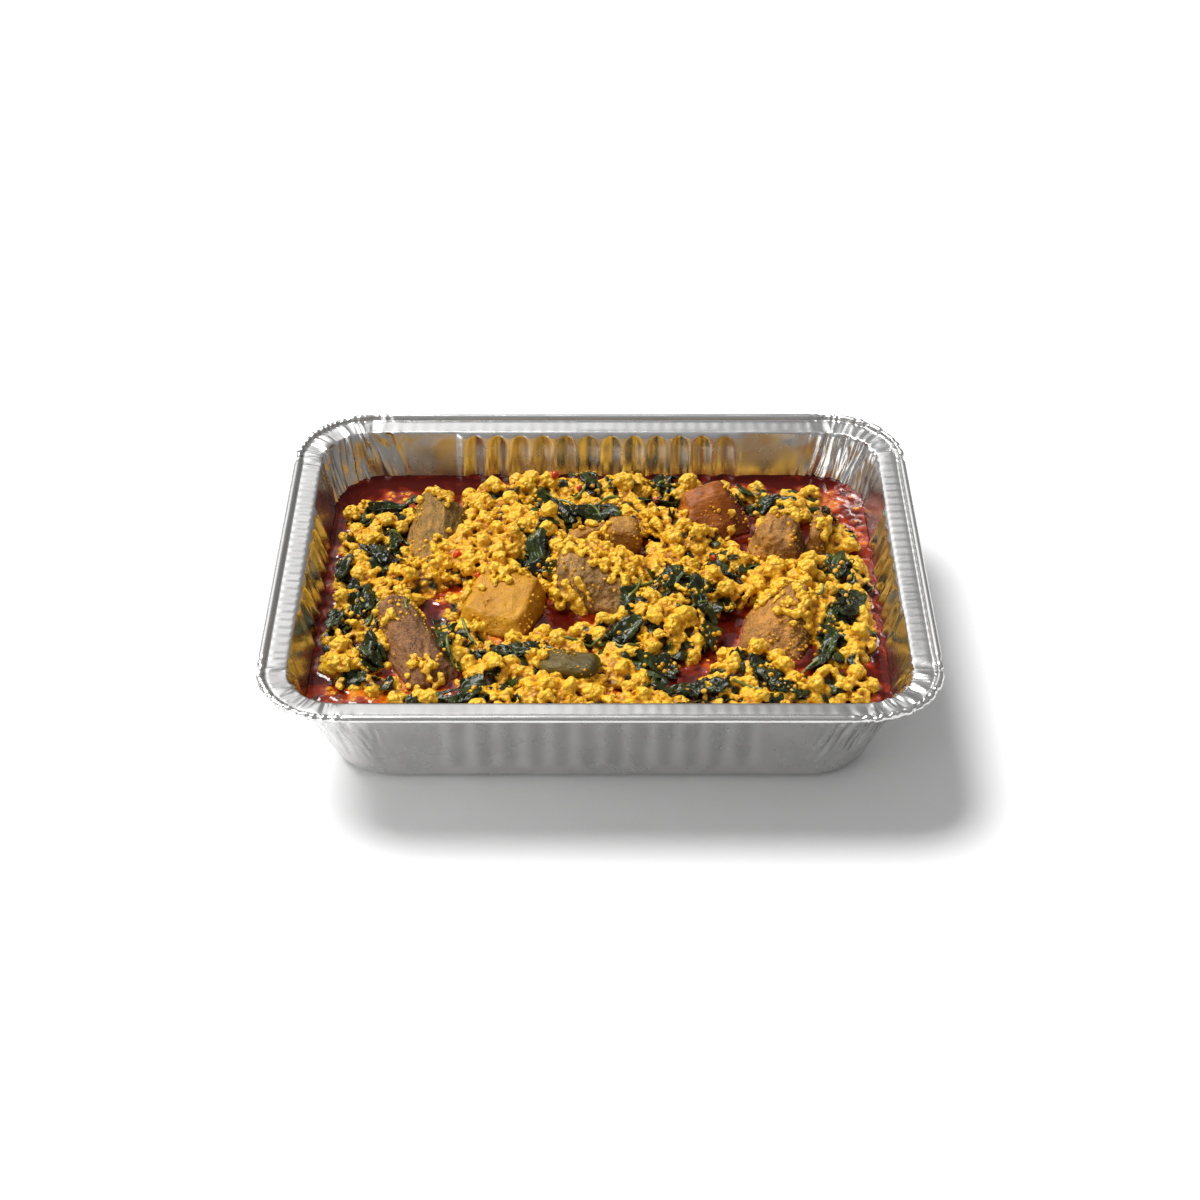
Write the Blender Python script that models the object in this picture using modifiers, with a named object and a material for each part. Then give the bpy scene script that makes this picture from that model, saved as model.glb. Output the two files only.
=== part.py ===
"""Foil tray meal: a half-size foil steam-table pan, filled with a melon-seed and leaf stew with meat.

The pan is one thin pressed sheet with ribbed walls and a rolled rim. The stew is a flat body of red oil
and stock up to its level. On it stand the lumpy heaps of seed curd, the pieces of meat and the leaves.
The origin is under the middle of the pan's floor, +X along the pan's length and +Y away from the viewer.
"""

import heapq
import math
import random

import bmesh
import bpy
from mathutils import Matrix, Vector, noise
from mathutils.bvhtree import BVHTree

MM = 0.001

# The pan, in millimetres. The outer rim is that of a half-size pan, 12 3/4 by 10 3/8 inches.
RIM_LENGTH = 324.0
RIM_WIDTH = 264.0
PAN_HEIGHT = 64.5
SHEET = 0.5
BASE_LENGTH = 260.0
BASE_WIDTH = 197.6
DRAFT = 0.29
FLOOR_FILLET = 8.5
FOLD_Z = 61.0
CURL_RADIUS = 2.0
CURL_ANGLES = (150, 90, 45, 0, -60, -120)
RIM_CORNER = 40.5
FOLD_CORNER = 26.2
BASE_CORNER = 31.0
CORNER_STEPS = 6

# The pressed ribs of the walls.
RIB_PITCH = 12.3
RIB_DEPTH = 1.0
GROOVES_LONG = 12
GROOVES_SHORT = 7
RIB_LEVELS = ((10.0, 0.0), (14.0, 1.0), (54.0, 1.0), (58.5, 0.0))

# The stew.
STEW_LEVEL = 37.0
GAP = 0.3
HEAP_BASE = STEW_LEVEL + GAP
FOOD_TOP = 58.0
WALL_CLEARANCE = 1.7
MEAT_CLEARANCE = 0.8
CUT_DEPTH = 2.0
SMALLEST_ISLAND = 90.0
HEAP_GRID = 8.0
LUMP_SIZE = 3.6
LUMP_HEIGHT = 2.4
CURDS_TRIED = 1500
CURD_APART = 7.4
CURD_RADIUS = (3.6, 5.6)
HEAP_TRIANGLES = 5050
SEED = 417

# Heaps of seed curd: middle x and y, half length, half width, top level, turn in degrees.
MOUNDS = (
    (-119, 66, 16, 11, 46.0, 20),
    (-118, 40, 18, 13, 46.5, 0),
    (-123, 15, 15, 17, 48.0, 30),
    (-122, -13, 16, 15, 47.0, 0),
    (-125, -36, 13, 14, 46.0, 0),
    (-123, -58, 15, 13, 46.5, 0),
    (-108, -40, 13, 22, 47.0, 10),
    (-103, 24, 13, 22, 46.0, 0),
    (-105, -4, 13, 12, 45.5, 0),
    (-101, 60, 13, 16, 47.0, 0),
    (-72, 30, 14, 19, 51.0, 0),
    (-88, 8, 12, 9, 45.5, 0),
    (-58, 78, 18, 14, 48.0, 15),
    (-36, 83, 20, 14, 49.0, 0),
    (-62, 56, 15, 17, 48.0, 0),
    (-42, 62, 18, 15, 49.5, 0),
    (-10, 88, 21, 14, 48.5, 0),
    (14, 89, 21, 13, 50.0, 0),
    (42, 85, 16, 13, 48.0, 0),
    (70, 90, 10, 6, 43.0, 0),
    (84, 87, 10, 7, 42.5, 0),
    (100, 73, 18, 13, 46.5, 20),
    (109, 90, 10, 5, 41.5, 0),
    (124, 47, 11, 13, 45.5, 0),
    (125, 13, 14, 19, 50.0, 0),
    (125, -18, 13, 18, 48.5, 0),
    (122, -44, 14, 17, 46.5, 0),
    (114, -79, 19, 12, 45.0, 10),
    (-62, 18, 19, 15, 52.5, 0),
    (-47, 38, 18, 16, 51.0, 0),
    (-30, 45, 15, 19, 54.0, 0),
    (-28, 14, 12, 18, 48.0, 0),
    (-16, 66, 20, 13, 47.0, 0),
    (14, 66, 21, 14, 47.0, 0),
    (34, 58, 15, 14, 50.0, 0),
    (47, 38, 19, 17, 51.0, 0),
    (67, 20, 17, 17, 48.0, 0),
    (84, 10, 14, 11, 48.0, 0),
    (66, -2, 12, 12, 47.0, 0),
    (46, -3, 22, 15, 54.0, -15),
    (31, -25, 27, 18, 52.0, 10),
    (38, -43, 21, 15, 48.5, 0),
    (8, -38, 17, 13, 46.0, 0),
    (30, 14, 17, 15, 49.0, 0),
    (101, 4, 17, 11, 51.0, 10),
    (108, 22, 12, 10, 46.0, 0),
    (112, -24, 10, 24, 49.0, 0),
    (-40, -56, 24, 12, 46.0, 0),
    (-55, -70, 15, 13, 46.5, 0),
    (-70, -42, 13, 18, 47.5, 0),
    (-24, -43, 24, 8, 43.5, 0),
    (-15, -71, 22, 14, 47.0, 0),
    (-24, -86, 22, 11, 46.5, 0),
    (25, -92, 24, 11, 44.5, 0),
    (20, -76, 13, 8, 43.0, 0),
    (12, -57, 16, 12, 46.5, 0),
    (74, -62, 14, 12, 48.0, 0),
    (86, -79, 18, 13, 47.0, 0),
    (57, -80, 17, 12, 46.5, 0),
    (-119, -74, 9, 6, 42.0, 0),
    (-103, -76, 10, 6, 42.0, 0),
    (-84, -90, 15, 8, 43.5, 0),
    (-70, -14, 8, 11, 43.0, 0),
    (-57, -90, 17, 10, 45.0, 0),
    (-16, -100, 20, 6, 43.5, 0),
    (72, -98, 20, 8, 44.0, 0),
)

# Meat: name, middle x and y, length, width, turn, bottom and top level, how far the top drops along the
# length, size of the top as a share of the base, shift of the top, colour.
OLIVE = (0.20, 0.14, 0.05)
BROWN = (0.23, 0.12, 0.06)
GOLD = (0.55, 0.30, 0.03)
AMBER = (0.35, 0.10, 0.01)
MEATS = (
    ("meat_back_left", -83, 38, 72, 41, 92, 0.0, 58.0, 11.0, (0.80, 0.25), (-3, 4), OLIVE),
    ("meat_front_left", -91, -49, 64, 34, 117, 0.0, 56.5, 12.0, (0.85, 0.45), (-1, 3), BROWN),
    ("meat_golden", -49, -17, 44, 42, 70, 0.0, 54.5, 8.0, (0.75, 0.75), (0, 4), GOLD),
    ("meat_centre", 4, 3, 56, 48, 170, 0.0, 58.0, 7.0, (0.62, 0.66), (-7, 5), BROWN),
    ("meat_amber", 60, 61, 41, 37, 20, 0.0, 58.0, 4.0, (0.55, 0.30), (-5, 8), AMBER),
    ("meat_fibrous", 91, 34, 32, 33, 80, 0.0, 58.0, 5.0, (0.60, 0.55), (2, 5), BROWN),
    ("meat_fibrous_slab", 114, 42, 24, 11, 75, 0.0, 54.0, 3.0, (0.80, 0.70), (0, 3), BROWN),
    ("meat_front_right", 87, -33, 50, 44, 70, 0.0, 58.0, 8.0, (0.50, 0.22), (8, 9), OLIVE),
    ("meat_olive", -15, -68, 33, 19, -10, 43.5, 50.5, 1.0, (0.85, 0.75), (0, 1), OLIVE),
)
KNUCKLE = "meat_knuckle"
KNUCKLE_STRIP = (-6, 43, 30, 13, 15, 0.0, 49.5, 3.0, (0.80, 0.60), (0, 2))
KNUCKLE_KNOB = (12, 43, 22, 20, 0, 0.0, 53.0, 0.0, (0.75, 0.75), (0, 0))

# Leaves: middle x and y, length, width, turn in degrees.
LEAVES = (
    (-116, 27, 22, 11, -60),
    (-130, 14, 18, 9, 80),
    (-112, 70, 22, 11, 30),
    (-98, 73, 15, 9, 75),
    (-107, 38, 20, 9, 95),
    (-118, -16, 28, 11, 70),
    (-131, -30, 18, 11, 60),
    (-110, -55, 22, 10, 110),
    (-78, -44, 34, 9, -62),
    (-44, -54, 30, 12, 15),
    (-67, -84, 26, 15, 25),
    (-23, 66, 30, 16, -70),
    (-4, 62, 30, 11, -20),
    (-9, 93, 22, 12, -55),
    (36, 92, 24, 12, 80),
    (31, 72, 22, 11, 15),
    (84, 77, 24, 13, 10),
    (119, 58, 20, 11, 70),
    (-33, 24, 26, 12, 60),
    (-29, 8, 16, 8, -30),
    (22, -10, 36, 9, 48),
    (36, -4, 20, 12, 70),
    (51, -17, 26, 12, -60),
    (62, 12, 26, 10, -65),
    (12, -40, 18, 14, 10),
    (29, -64, 22, 13, -35),
    (56, -42, 20, 10, 75),
    (47, -84, 32, 12, 20),
    (83, -77, 34, 10, -38),
    (109, -48, 36, 9, 68),
    (125, -20, 26, 12, 40),
    (121, 12, 22, 10, 70),
)


def material(name, colour, roughness, metallic=0.0):
    """A plain finish."""
    made = bpy.data.materials.new(name)
    made.use_nodes = True
    shader = made.node_tree.nodes["Principled BSDF"]
    shader.inputs["Base Color"].default_value = (*colour, 1.0)
    shader.inputs["Roughness"].default_value = roughness
    shader.inputs["Metallic"].default_value = metallic
    return made


def add_object(name, mesh, collection, finish=None):
    """A named object for a mesh."""
    made = bpy.data.objects.new(name, mesh)
    collection.objects.link(made)
    if finish:
        mesh.materials.clear()
        mesh.materials.append(finish)
    return made


def mesh_from(shape, name):
    """A mesh in metres from a bmesh in millimetres."""
    bmesh.ops.scale(shape, vec=(MM, MM, MM), verts=shape.verts)
    mesh = bpy.data.meshes.new(name)
    shape.to_mesh(mesh)
    shape.free()
    return mesh


def evaluated_mesh(made):
    """The object's mesh with its modifiers applied."""
    graph = bpy.context.evaluated_depsgraph_get()
    return bpy.data.meshes.new_from_object(made.evaluated_get(graph))


def apply_modifiers(made):
    """Swaps the object's mesh for its evaluated one."""
    made_mesh = evaluated_mesh(made)
    made.modifiers.clear()
    made.data = made_mesh


def remove_all(collection):
    """Removes the objects of a collection."""
    for made in list(collection.objects):
        bpy.data.objects.remove(made)


def boolean(made, operation, collection, solver="MANIFOLD"):
    """One Boolean with every object of a collection, applied."""
    cut = made.modifiers.new(operation.lower(), "BOOLEAN")
    cut.operation = operation
    cut.operand_type = "COLLECTION"
    cut.collection = collection
    cut.solver = solver
    apply_modifiers(made)
    remove_all(collection)


def tree_of(objects):
    """A search tree over the faces of several objects, in metres."""
    points, faces = [], []
    for made in objects:
        first = len(points)
        points += [made.matrix_world @ v.co for v in made.data.vertices]
        faces += [[first + i for i in face.vertices] for face in made.data.polygons]
    return BVHTree.FromPolygons(points, faces)


# The pan


def rib_stations(grooves, half_side):
    """Places along a side and the rib's height there, from -1 on a ridge to 1 in a groove."""
    stations = [(-half_side, 0.0)]
    last = grooves / 2
    stations += [(-(last + 0.4) * RIB_PITCH, 0.0), (-(last + 0.125) * RIB_PITCH, -1.0)]
    for groove in range(grooves):
        middle = (groove - (grooves - 1) / 2) * RIB_PITCH
        stations += [(middle + phase * RIB_PITCH, height)
                     for phase, height in ((-0.375, -1.0), (-0.125, 1.0), (0.125, 1.0), (0.375, -1.0))]
    stations += [((last + 0.125) * RIB_PITCH, -1.0), ((last + 0.4) * RIB_PITCH, 0.0)]
    return stations + [(half_side, 0.0)]


def outline(half_x, half_y, corner, rib=0.0):
    """A rounded rectangle with ribbed sides, as points round the pan."""
    points = []
    for side in range(4):
        long_side = side % 2 == 0
        half_side, reach = (half_x, half_y) if long_side else (half_y, half_x)
        grooves = GROOVES_LONG if long_side else GROOVES_SHORT
        turn = Matrix.Rotation(side * math.pi / 2, 2)
        row = [Vector((along, -reach - rib * RIB_DEPTH * height))
               for along, height in rib_stations(grooves, half_side - corner)]
        middle = Vector((half_side - corner, corner - reach))
        for step in range(1, CORNER_STEPS):
            angle = math.radians(-90 + 90 * step / CORNER_STEPS)
            row.append(middle + corner * Vector((math.cos(angle), math.sin(angle))))
        points += [turn @ point for point in row]
    return points


def wall_size(z, inset=0.0):
    """Half length, half width and corner radius of the wall's food side at a level."""
    corner = BASE_CORNER + (FOLD_CORNER - BASE_CORNER) * z / FOLD_Z
    return (BASE_LENGTH / 2 + DRAFT * z - inset, BASE_WIDTH / 2 + DRAFT * z - inset, corner - inset)


def floor_levels(gap):
    """Level and inset of each ring of the fillet between floor and wall."""
    lean = math.atan(DRAFT)
    floor = SHEET + gap
    radius = FLOOR_FILLET - gap
    reach = radius * math.tan((math.pi / 2 - lean) / 2)
    for share in (0.0, 0.5, 1.0):
        angle = -math.pi / 2 + share * (math.pi / 2 - lean)
        z = floor + radius * (1 + math.sin(angle))
        inset = reach - radius * math.cos(angle) + DRAFT * (z - floor)
        yield z, inset + gap / math.cos(lean)


def loft(rings, close_bottom, close_top):
    """Joins rings of equally many points into a surface, and caps it."""
    shape = bmesh.new()
    rows = [[shape.verts.new((p.x, p.y, z)) for p in points] for points, z in rings]
    count = len(rows[0])
    for low, high in zip(rows, rows[1:]):
        for i in range(count):
            j = (i + 1) % count
            shape.faces.new((low[i], low[j], high[j], high[i]))
    if close_bottom:
        shape.faces.new(reversed(rows[0]))
    if close_top:
        shape.faces.new(rows[-1])
    return shape


def join_flat_faces(shape):
    """Merges faces that lie in one plane, and splits what is left into triangles."""
    shape.normal_update()
    bmesh.ops.dissolve_limit(shape, angle_limit=math.radians(0.6), verts=shape.verts, edges=shape.edges)
    bmesh.ops.triangulate(shape, faces=shape.faces)


def make_pan(collection):
    """The pressed sheet from the floor up to the rolled rim."""
    rings = [(outline(*wall_size(z, inset)), z) for z, inset in floor_levels(0.0)]
    rings += [(outline(*wall_size(z), rib), z) for z, rib in RIB_LEVELS]
    rings.append((outline(*wall_size(FOLD_Z)), FOLD_Z))
    curl_z = PAN_HEIGHT - CURL_RADIUS
    for degrees in CURL_ANGLES:
        angle = math.radians(degrees)
        inset = CURL_RADIUS * (1 - math.cos(angle))
        size = (RIM_LENGTH / 2 - inset, RIM_WIDTH / 2 - inset, RIM_CORNER - inset)
        rings.append((outline(*size), curl_z + CURL_RADIUS * math.sin(angle)))
    shape = loft(rings, True, False)
    bmesh.ops.reverse_faces(shape, faces=shape.faces)
    join_flat_faces(shape)
    pan = add_object("foil_tray", mesh_from(shape, "foil_tray"), collection,
                     material("foil", (0.75, 0.75, 0.76), 0.28, 1.0))
    skin = pan.modifiers.new("sheet", "SOLIDIFY")
    skin.thickness = SHEET * MM
    skin.offset = -1.0
    skin.use_even_offset = True
    return pan


def make_stew(collection):
    """The flat body of stock and oil, from just over the floor to its level."""
    rings = [(outline(*wall_size(z, inset)), z) for z, inset in floor_levels(GAP)]
    inset = GAP * 1.2
    rib_start = RIB_LEVELS[0][0]
    rings.append((outline(*wall_size(rib_start, inset + RIB_DEPTH)), rib_start))
    rings.append((outline(*wall_size(STEW_LEVEL, inset), 1.0), STEW_LEVEL))
    shape = loft(rings, True, True)
    join_flat_faces(shape)
    return add_object("palm_oil_stew", mesh_from(shape, "palm_oil_stew"), collection,
                      material("red_oil", (0.16, 0.012, 0.004), 0.08))


# Meat


def uneven(point, size, amount, seed):
    """A smooth pseudo-random shift of a point in millimetres."""
    return amount * noise.noise_vector(point / size + Vector((seed, 0.37 * seed, -1.3 * seed)))


def meat_shape(x, y, length, width, turn, low, high, drop, top_share, top_shift, seed):
    """A cut block of meat: rounded, tapered upwards and sloping along its length."""
    shape = bmesh.new()
    bmesh.ops.create_cube(shape, size=2.0)
    bmesh.ops.subdivide_edges(shape, edges=shape.edges, cuts=2, use_grid_fill=True)
    low = low or HEAP_BASE - 3.0
    place = Matrix.Translation((x, y, 0)) @ Matrix.Rotation(math.radians(turn), 4, "Z")
    for v in shape.verts:
        norm = sum(abs(c) ** 6 for c in v.co) ** (1 / 6)
        u, w, up = v.co / norm
        rise = (up + 1) / 2
        share_x = 1 + (top_share[0] - 1) * rise
        share_y = 1 + (top_share[1] - 1) * rise
        point = place @ Vector((u * share_x * length / 2, w * share_y * width / 2, 0))
        point += Vector((top_shift[0], top_shift[1], 0)) * rise
        top = high - drop * (1 - u) / 2
        point.z = low + (top - low) * rise
        v.co = point + uneven(point, 14.0, 1.3, seed) + uneven(point, 5.0, 0.5, seed + 9)
    return shape


def floor_cut(shape, level):
    """Cuts a closed shape flat at a level and keeps what is above."""
    faces = shape.faces[:] + shape.edges[:] + shape.verts[:]
    cut = bmesh.ops.bisect_plane(shape, geom=faces, plane_co=(0, 0, level), plane_no=(0, 0, 1),
                                 clear_inner=True)
    edges = [e for e in cut["geom_cut"] if isinstance(e, bmesh.types.BMEdge)]
    if edges:
        bmesh.ops.contextual_create(shape, geom=edges)


def finish_meat(name, shape, collection, finish):
    """A meat node, cut flat where it meets the stew."""
    floor_cut(shape, HEAP_BASE)
    bmesh.ops.recalc_face_normals(shape, faces=shape.faces)
    bmesh.ops.triangulate(shape, faces=shape.faces)
    return add_object(name, mesh_from(shape, name), collection, finish)


def make_meats(collection, tools):
    """Every piece of meat."""
    made = []
    for number, (name, *form, colour) in enumerate(MEATS):
        shape = meat_shape(*form, seed=number + 1)
        made.append(finish_meat(name, shape, collection, material(name + "_finish", colour, 0.35)))
    strip = add_object("strip", mesh_from(meat_shape(*KNUCKLE_STRIP, seed=21), "strip"), collection)
    knob = add_object("knob", mesh_from(meat_shape(*KNUCKLE_KNOB, seed=22), "knob"), tools)
    boolean(strip, "UNION", tools)
    shape = bmesh.new()
    shape.from_mesh(strip.data)
    bmesh.ops.scale(shape, vec=(1 / MM, 1 / MM, 1 / MM), verts=shape.verts)
    bpy.data.objects.remove(strip)
    made.append(finish_meat(KNUCKLE, shape, collection, material("knuckle_finish", BROWN, 0.35)))
    return made


def meat_cutter(meat, tools):
    """The meat a little larger and deeper, to cut its place out of the heap."""
    shape = bmesh.new()
    shape.from_mesh(meat.data)
    bmesh.ops.scale(shape, vec=(1 / MM, 1 / MM, 1 / MM), verts=shape.verts)
    shape.normal_update()
    on_base = [v for v in shape.verts if v.co.z < HEAP_BASE + 0.01]
    moves = [(v, v.normal * MEAT_CLEARANCE) for v in shape.verts if v not in on_base]
    moves += [(v, Vector((v.normal.x, v.normal.y, 0)).normalized() * MEAT_CLEARANCE) for v in on_base]
    bottom = [face for face in shape.faces if all(v in on_base for v in face.verts)]
    for v, move in moves:
        v.co += move
    sunk = bmesh.ops.extrude_face_region(shape, geom=bottom)["geom"]
    for v in (part for part in sunk if isinstance(part, bmesh.types.BMVert)):
        v.co.z -= CUT_DEPTH
    bmesh.ops.delete(shape, geom=bottom, context="FACES_ONLY")
    return add_object(meat.name + "_cutter", mesh_from(shape, "cutter"), tools)


# A closed skin with fewer triangles


class Skin:
    """A closed skin of triangles, in millimetres, whose edges can be closed up one at a time."""

    def __init__(self, mesh):
        mesh.calc_loop_triangles()
        self.points = [v.co / MM for v in mesh.vertices]
        self.faces = {i: tuple(t.vertices) for i, t in enumerate(mesh.loop_triangles)}
        self.around = [set() for _ in self.points]
        for i, face in self.faces.items():
            for corner in face:
                self.around[corner].add(i)
        self.age = [0] * len(self.points)

    def neighbours(self, corner):
        """The corners that share an edge with this one, in order."""
        return sorted({c for i in self.around[corner] for c in self.faces[i]} - {corner})

    def normal(self, face, moved=(), middle=None):
        """A face's normal, twice as long as its area, with two corners moved to a place."""
        a, b, c = (middle if corner in moved else self.points[corner] for corner in face)
        return (b - a).cross(c - a)

    def cost(self, a, b):
        """How far the skin moves if edge ab closes up, or None if that would fold or pinch it."""
        first, last = self.points[a], self.points[b]
        based = [abs(point.z - HEAP_BASE) < 0.01 for point in (first, last)]
        shared = set(self.neighbours(a)) & set(self.neighbours(b))
        if based[0] != based[1] or len(shared) != 2:
            return None
        middle = (first + last) / 2
        far = 0.0
        for i in self.around[a] ^ self.around[b]:
            old = self.normal(self.faces[i])
            new = self.normal(self.faces[i], (a, b), middle)
            if new.length < 0.05 or new.dot(old) < 0.35 * new.length * old.length:
                return None
            far = max(far, abs((middle - self.points[self.faces[i][0]]).dot(old.normalized())))
        return far + 0.04 * (last - first).length

    def close(self, a, b):
        """Closes up edge ab, and gives the corners whose edges changed."""
        self.points[a] = (self.points[a] + self.points[b]) / 2
        for i in self.around[a] & self.around[b]:
            for corner in self.faces.pop(i):
                if corner not in (a, b):
                    self.around[corner].discard(i)
        self.around[a] = self.around[a] ^ self.around[b]
        self.around[b] = set()
        for i in self.around[a]:
            self.faces[i] = tuple(a if c == b else c for c in self.faces[i])
        changed = [a] + self.neighbours(a)
        for corner in changed + [b]:
            self.age[corner] += 1
        return changed


def simplified(mesh, goal):
    """A mesh of a given number of triangles: the edges that shape it least are closed up first."""
    skin = Skin(mesh)
    queue = []

    def offer(a, b):
        cost = skin.cost(a, b)
        if cost is not None:
            heapq.heappush(queue, (cost, a, b, skin.age[a], skin.age[b]))

    for a in range(len(skin.points)):
        for b in skin.neighbours(a):
            if a < b:
                offer(a, b)
    while queue and len(skin.faces) > goal:
        _, a, b, age_a, age_b = heapq.heappop(queue)
        if (skin.age[a], skin.age[b]) != (age_a, age_b):
            continue
        changed = skin.close(a, b)
        pairs = {tuple(sorted((c, other))) for c in changed for other in skin.neighbours(c)}
        for pair in sorted(pairs):
            offer(*pair)
    used = sorted({c for face in skin.faces.values() for c in face})
    place = {corner: i for i, corner in enumerate(used)}
    made = bpy.data.meshes.new("simplified")
    faces = [[place[c] for c in skin.faces[i]] for i in sorted(skin.faces)]
    made.from_pydata([skin.points[c] * MM for c in used], [], faces)
    return made


# Seed curd


def heap_level(x, y):
    """The level of the bare heaps at a place, below the stew where there is none."""
    base = STEW_LEVEL - 1.5
    level = base - 4.0
    for middle_x, middle_y, length, width, top, turn in MOUNDS:
        away = Matrix.Rotation(math.radians(-turn), 2) @ Vector((x - middle_x, y - middle_y))
        far = math.hypot(away.x / length, away.y / width)
        share = math.sqrt(1 - far * far) if far < 1 else max(1 - far, -0.5)
        level = max(level, base + (top - base) * share)
    return level + LUMP_HEIGHT * noise.noise(Vector((x / LUMP_SIZE, y / LUMP_SIZE, 0.5)))


def heap_block():
    """A closed block whose top is the bare heaps, sunk into the stew between them."""
    shape = bmesh.new()
    steps_x = round(BASE_LENGTH / HEAP_GRID) + 3
    steps_y = round(BASE_WIDTH / HEAP_GRID) + 3
    bmesh.ops.create_grid(shape, x_segments=steps_x, y_segments=steps_y, size=1.0)
    for v in shape.verts:
        v.co.x *= steps_x * HEAP_GRID / 2
        v.co.y *= steps_y * HEAP_GRID / 2
        v.co.z = heap_level(v.co.x, v.co.y)
    bmesh.ops.triangulate(shape, faces=shape.faces)
    top = shape.faces[:]
    sunk = bmesh.ops.extrude_face_region(shape, geom=top)["geom"]
    for v in (part for part in sunk if isinstance(part, bmesh.types.BMVert)):
        v.co.z = SHEET
    bmesh.ops.recalc_face_normals(shape, faces=shape.faces)
    return mesh_from(shape, "heap_block")


def curd_shape(middle, radius, draw):
    """A small curd with few sides."""
    shape = bmesh.new()
    bmesh.ops.create_icosphere(shape, subdivisions=1, radius=radius)
    stretch = Matrix.Diagonal((draw.uniform(0.85, 1.25), draw.uniform(0.85, 1.1), draw.uniform(0.7, 0.95)))
    turn = Matrix.Rotation(draw.uniform(0, math.tau), 3, (draw.uniform(-0.4, 0.4), draw.uniform(-0.4, 0.4), 1))
    for v in shape.verts:
        v.co = middle + turn @ (stretch @ v.co)
    return shape


def heap_limit(tools):
    """The space inside the pan's walls and above the stew."""
    levels = (HEAP_BASE, FOOD_TOP)
    rings = [(outline(*wall_size(z, WALL_CLEARANCE)), z) for z in levels]
    shape = loft(rings, True, True)
    join_flat_faces(shape)
    return add_object("heap_limit", mesh_from(shape, "heap_limit"), tools)


def make_core(collection, tools):
    """The bare heaps, kept inside the pan."""
    core = add_object("core", heap_block(), collection)
    heap_limit(tools)
    boolean(core, "INTERSECT", tools)
    return core


def spread_points(made, count, apart, draw):
    """Seeded points on the upper faces of a mesh, with their normals, none closer than a distance."""
    mesh = made.data
    mesh.calc_loop_triangles()
    rows = [t for t in mesh.loop_triangles if t.normal.z > 0.12]
    weights = [t.area for t in rows]
    kept = []
    for row in draw.choices(rows, weights, k=count):
        a, b, c = (mesh.vertices[i].co for i in row.vertices)
        s, t = draw.random(), draw.random()
        if s + t > 1:
            s, t = 1 - s, 1 - t
        point = (a + (b - a) * s + (c - a) * t) / MM
        if all((point - other).length > apart for other, _ in kept):
            kept.append((point, row.normal.copy()))
    return kept


def fuse_curds(core, others, tools):
    """Sets curds on the bare heaps, clear of meat and leaves, and fuses them to them."""
    draw = random.Random(SEED)
    near = tree_of(others)
    for middle, normal in spread_points(core, CURDS_TRIED, CURD_APART, draw):
        radius = draw.uniform(*CURD_RADIUS)
        middle = middle + normal * radius * 0.25
        hit = near.find_nearest(middle * MM)
        clear = hit[3] / MM - 1.3 * radius - GAP
        size = wall_size(middle.z, WALL_CLEARANCE)
        inside = abs(middle.x) < size[0] - 1.3 * radius and abs(middle.y) < size[1] - 1.3 * radius
        if clear < 0 or not inside or middle.z + radius > FOOD_TOP:
            continue
        add_object("curd", mesh_from(curd_shape(middle, radius, draw), "curd"), tools)
    boolean(core, "UNION", tools)
    heap_limit(tools)
    boolean(core, "INTERSECT", tools)


def cut_round_meat(core, meats, tools):
    """Thins the heaps to fewer faces, and cuts the places of the meat out of them."""
    core.data = simplified(core.data, HEAP_TRIANGLES)
    for meat in meats:
        meat_cutter(meat, tools)
    boolean(core, "DIFFERENCE", tools)


def islands(core):
    """Splits a mesh into its loose closed bodies, largest first, without the smallest scraps."""
    shape = bmesh.new()
    shape.from_mesh(core.data)
    left = set(shape.verts)
    bodies = []
    while left:
        body, queue = set(), [min(left, key=lambda v: v.index)]
        while queue:
            v = queue.pop()
            if v in body:
                continue
            body.add(v)
            queue += [e.other_vert(v) for e in v.link_edges]
        left -= body
        bodies.append(sorted(v.index for v in body))
    shape.free()
    parts = []
    for keep in bodies:
        keep = set(keep)
        part = bmesh.new()
        part.from_mesh(core.data)
        part.verts.ensure_lookup_table()
        bmesh.ops.delete(part, geom=[v for v in part.verts if v.index not in keep], context="VERTS")
        volume = part.calc_volume() / MM**3
        if volume > SMALLEST_ISLAND:
            parts.append((volume, part))
        else:
            part.free()
    return [part for _, part in sorted(parts, key=lambda row: -row[0])]


def make_heaps(core, collection, finish):
    """One node for each island of seed curd."""
    for number, shape in enumerate(islands(core), 1):
        bmesh.ops.triangulate(shape, faces=shape.faces)
        mesh = bpy.data.meshes.new("egusi_heap")
        shape.to_mesh(mesh)
        shape.free()
        add_object(f"egusi_heap_{number:02d}", mesh, collection, finish)
    bpy.data.objects.remove(core)


# Leaves


def surface_level(x, y, tree, spread):
    """The highest level of what lies within a short distance of a point, in millimetres."""
    top = HEAP_BASE
    for dx, dy in ((0, 0), (spread, 0), (-spread, 0), (0, spread), (0, -spread)):
        hit = tree.ray_cast(Vector(((x + dx) * MM, (y + dy) * MM, 0.1)), Vector((0, 0, -1)))
        if hit[0]:
            top = max(top, hit[0].z / MM)
    return top


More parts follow.
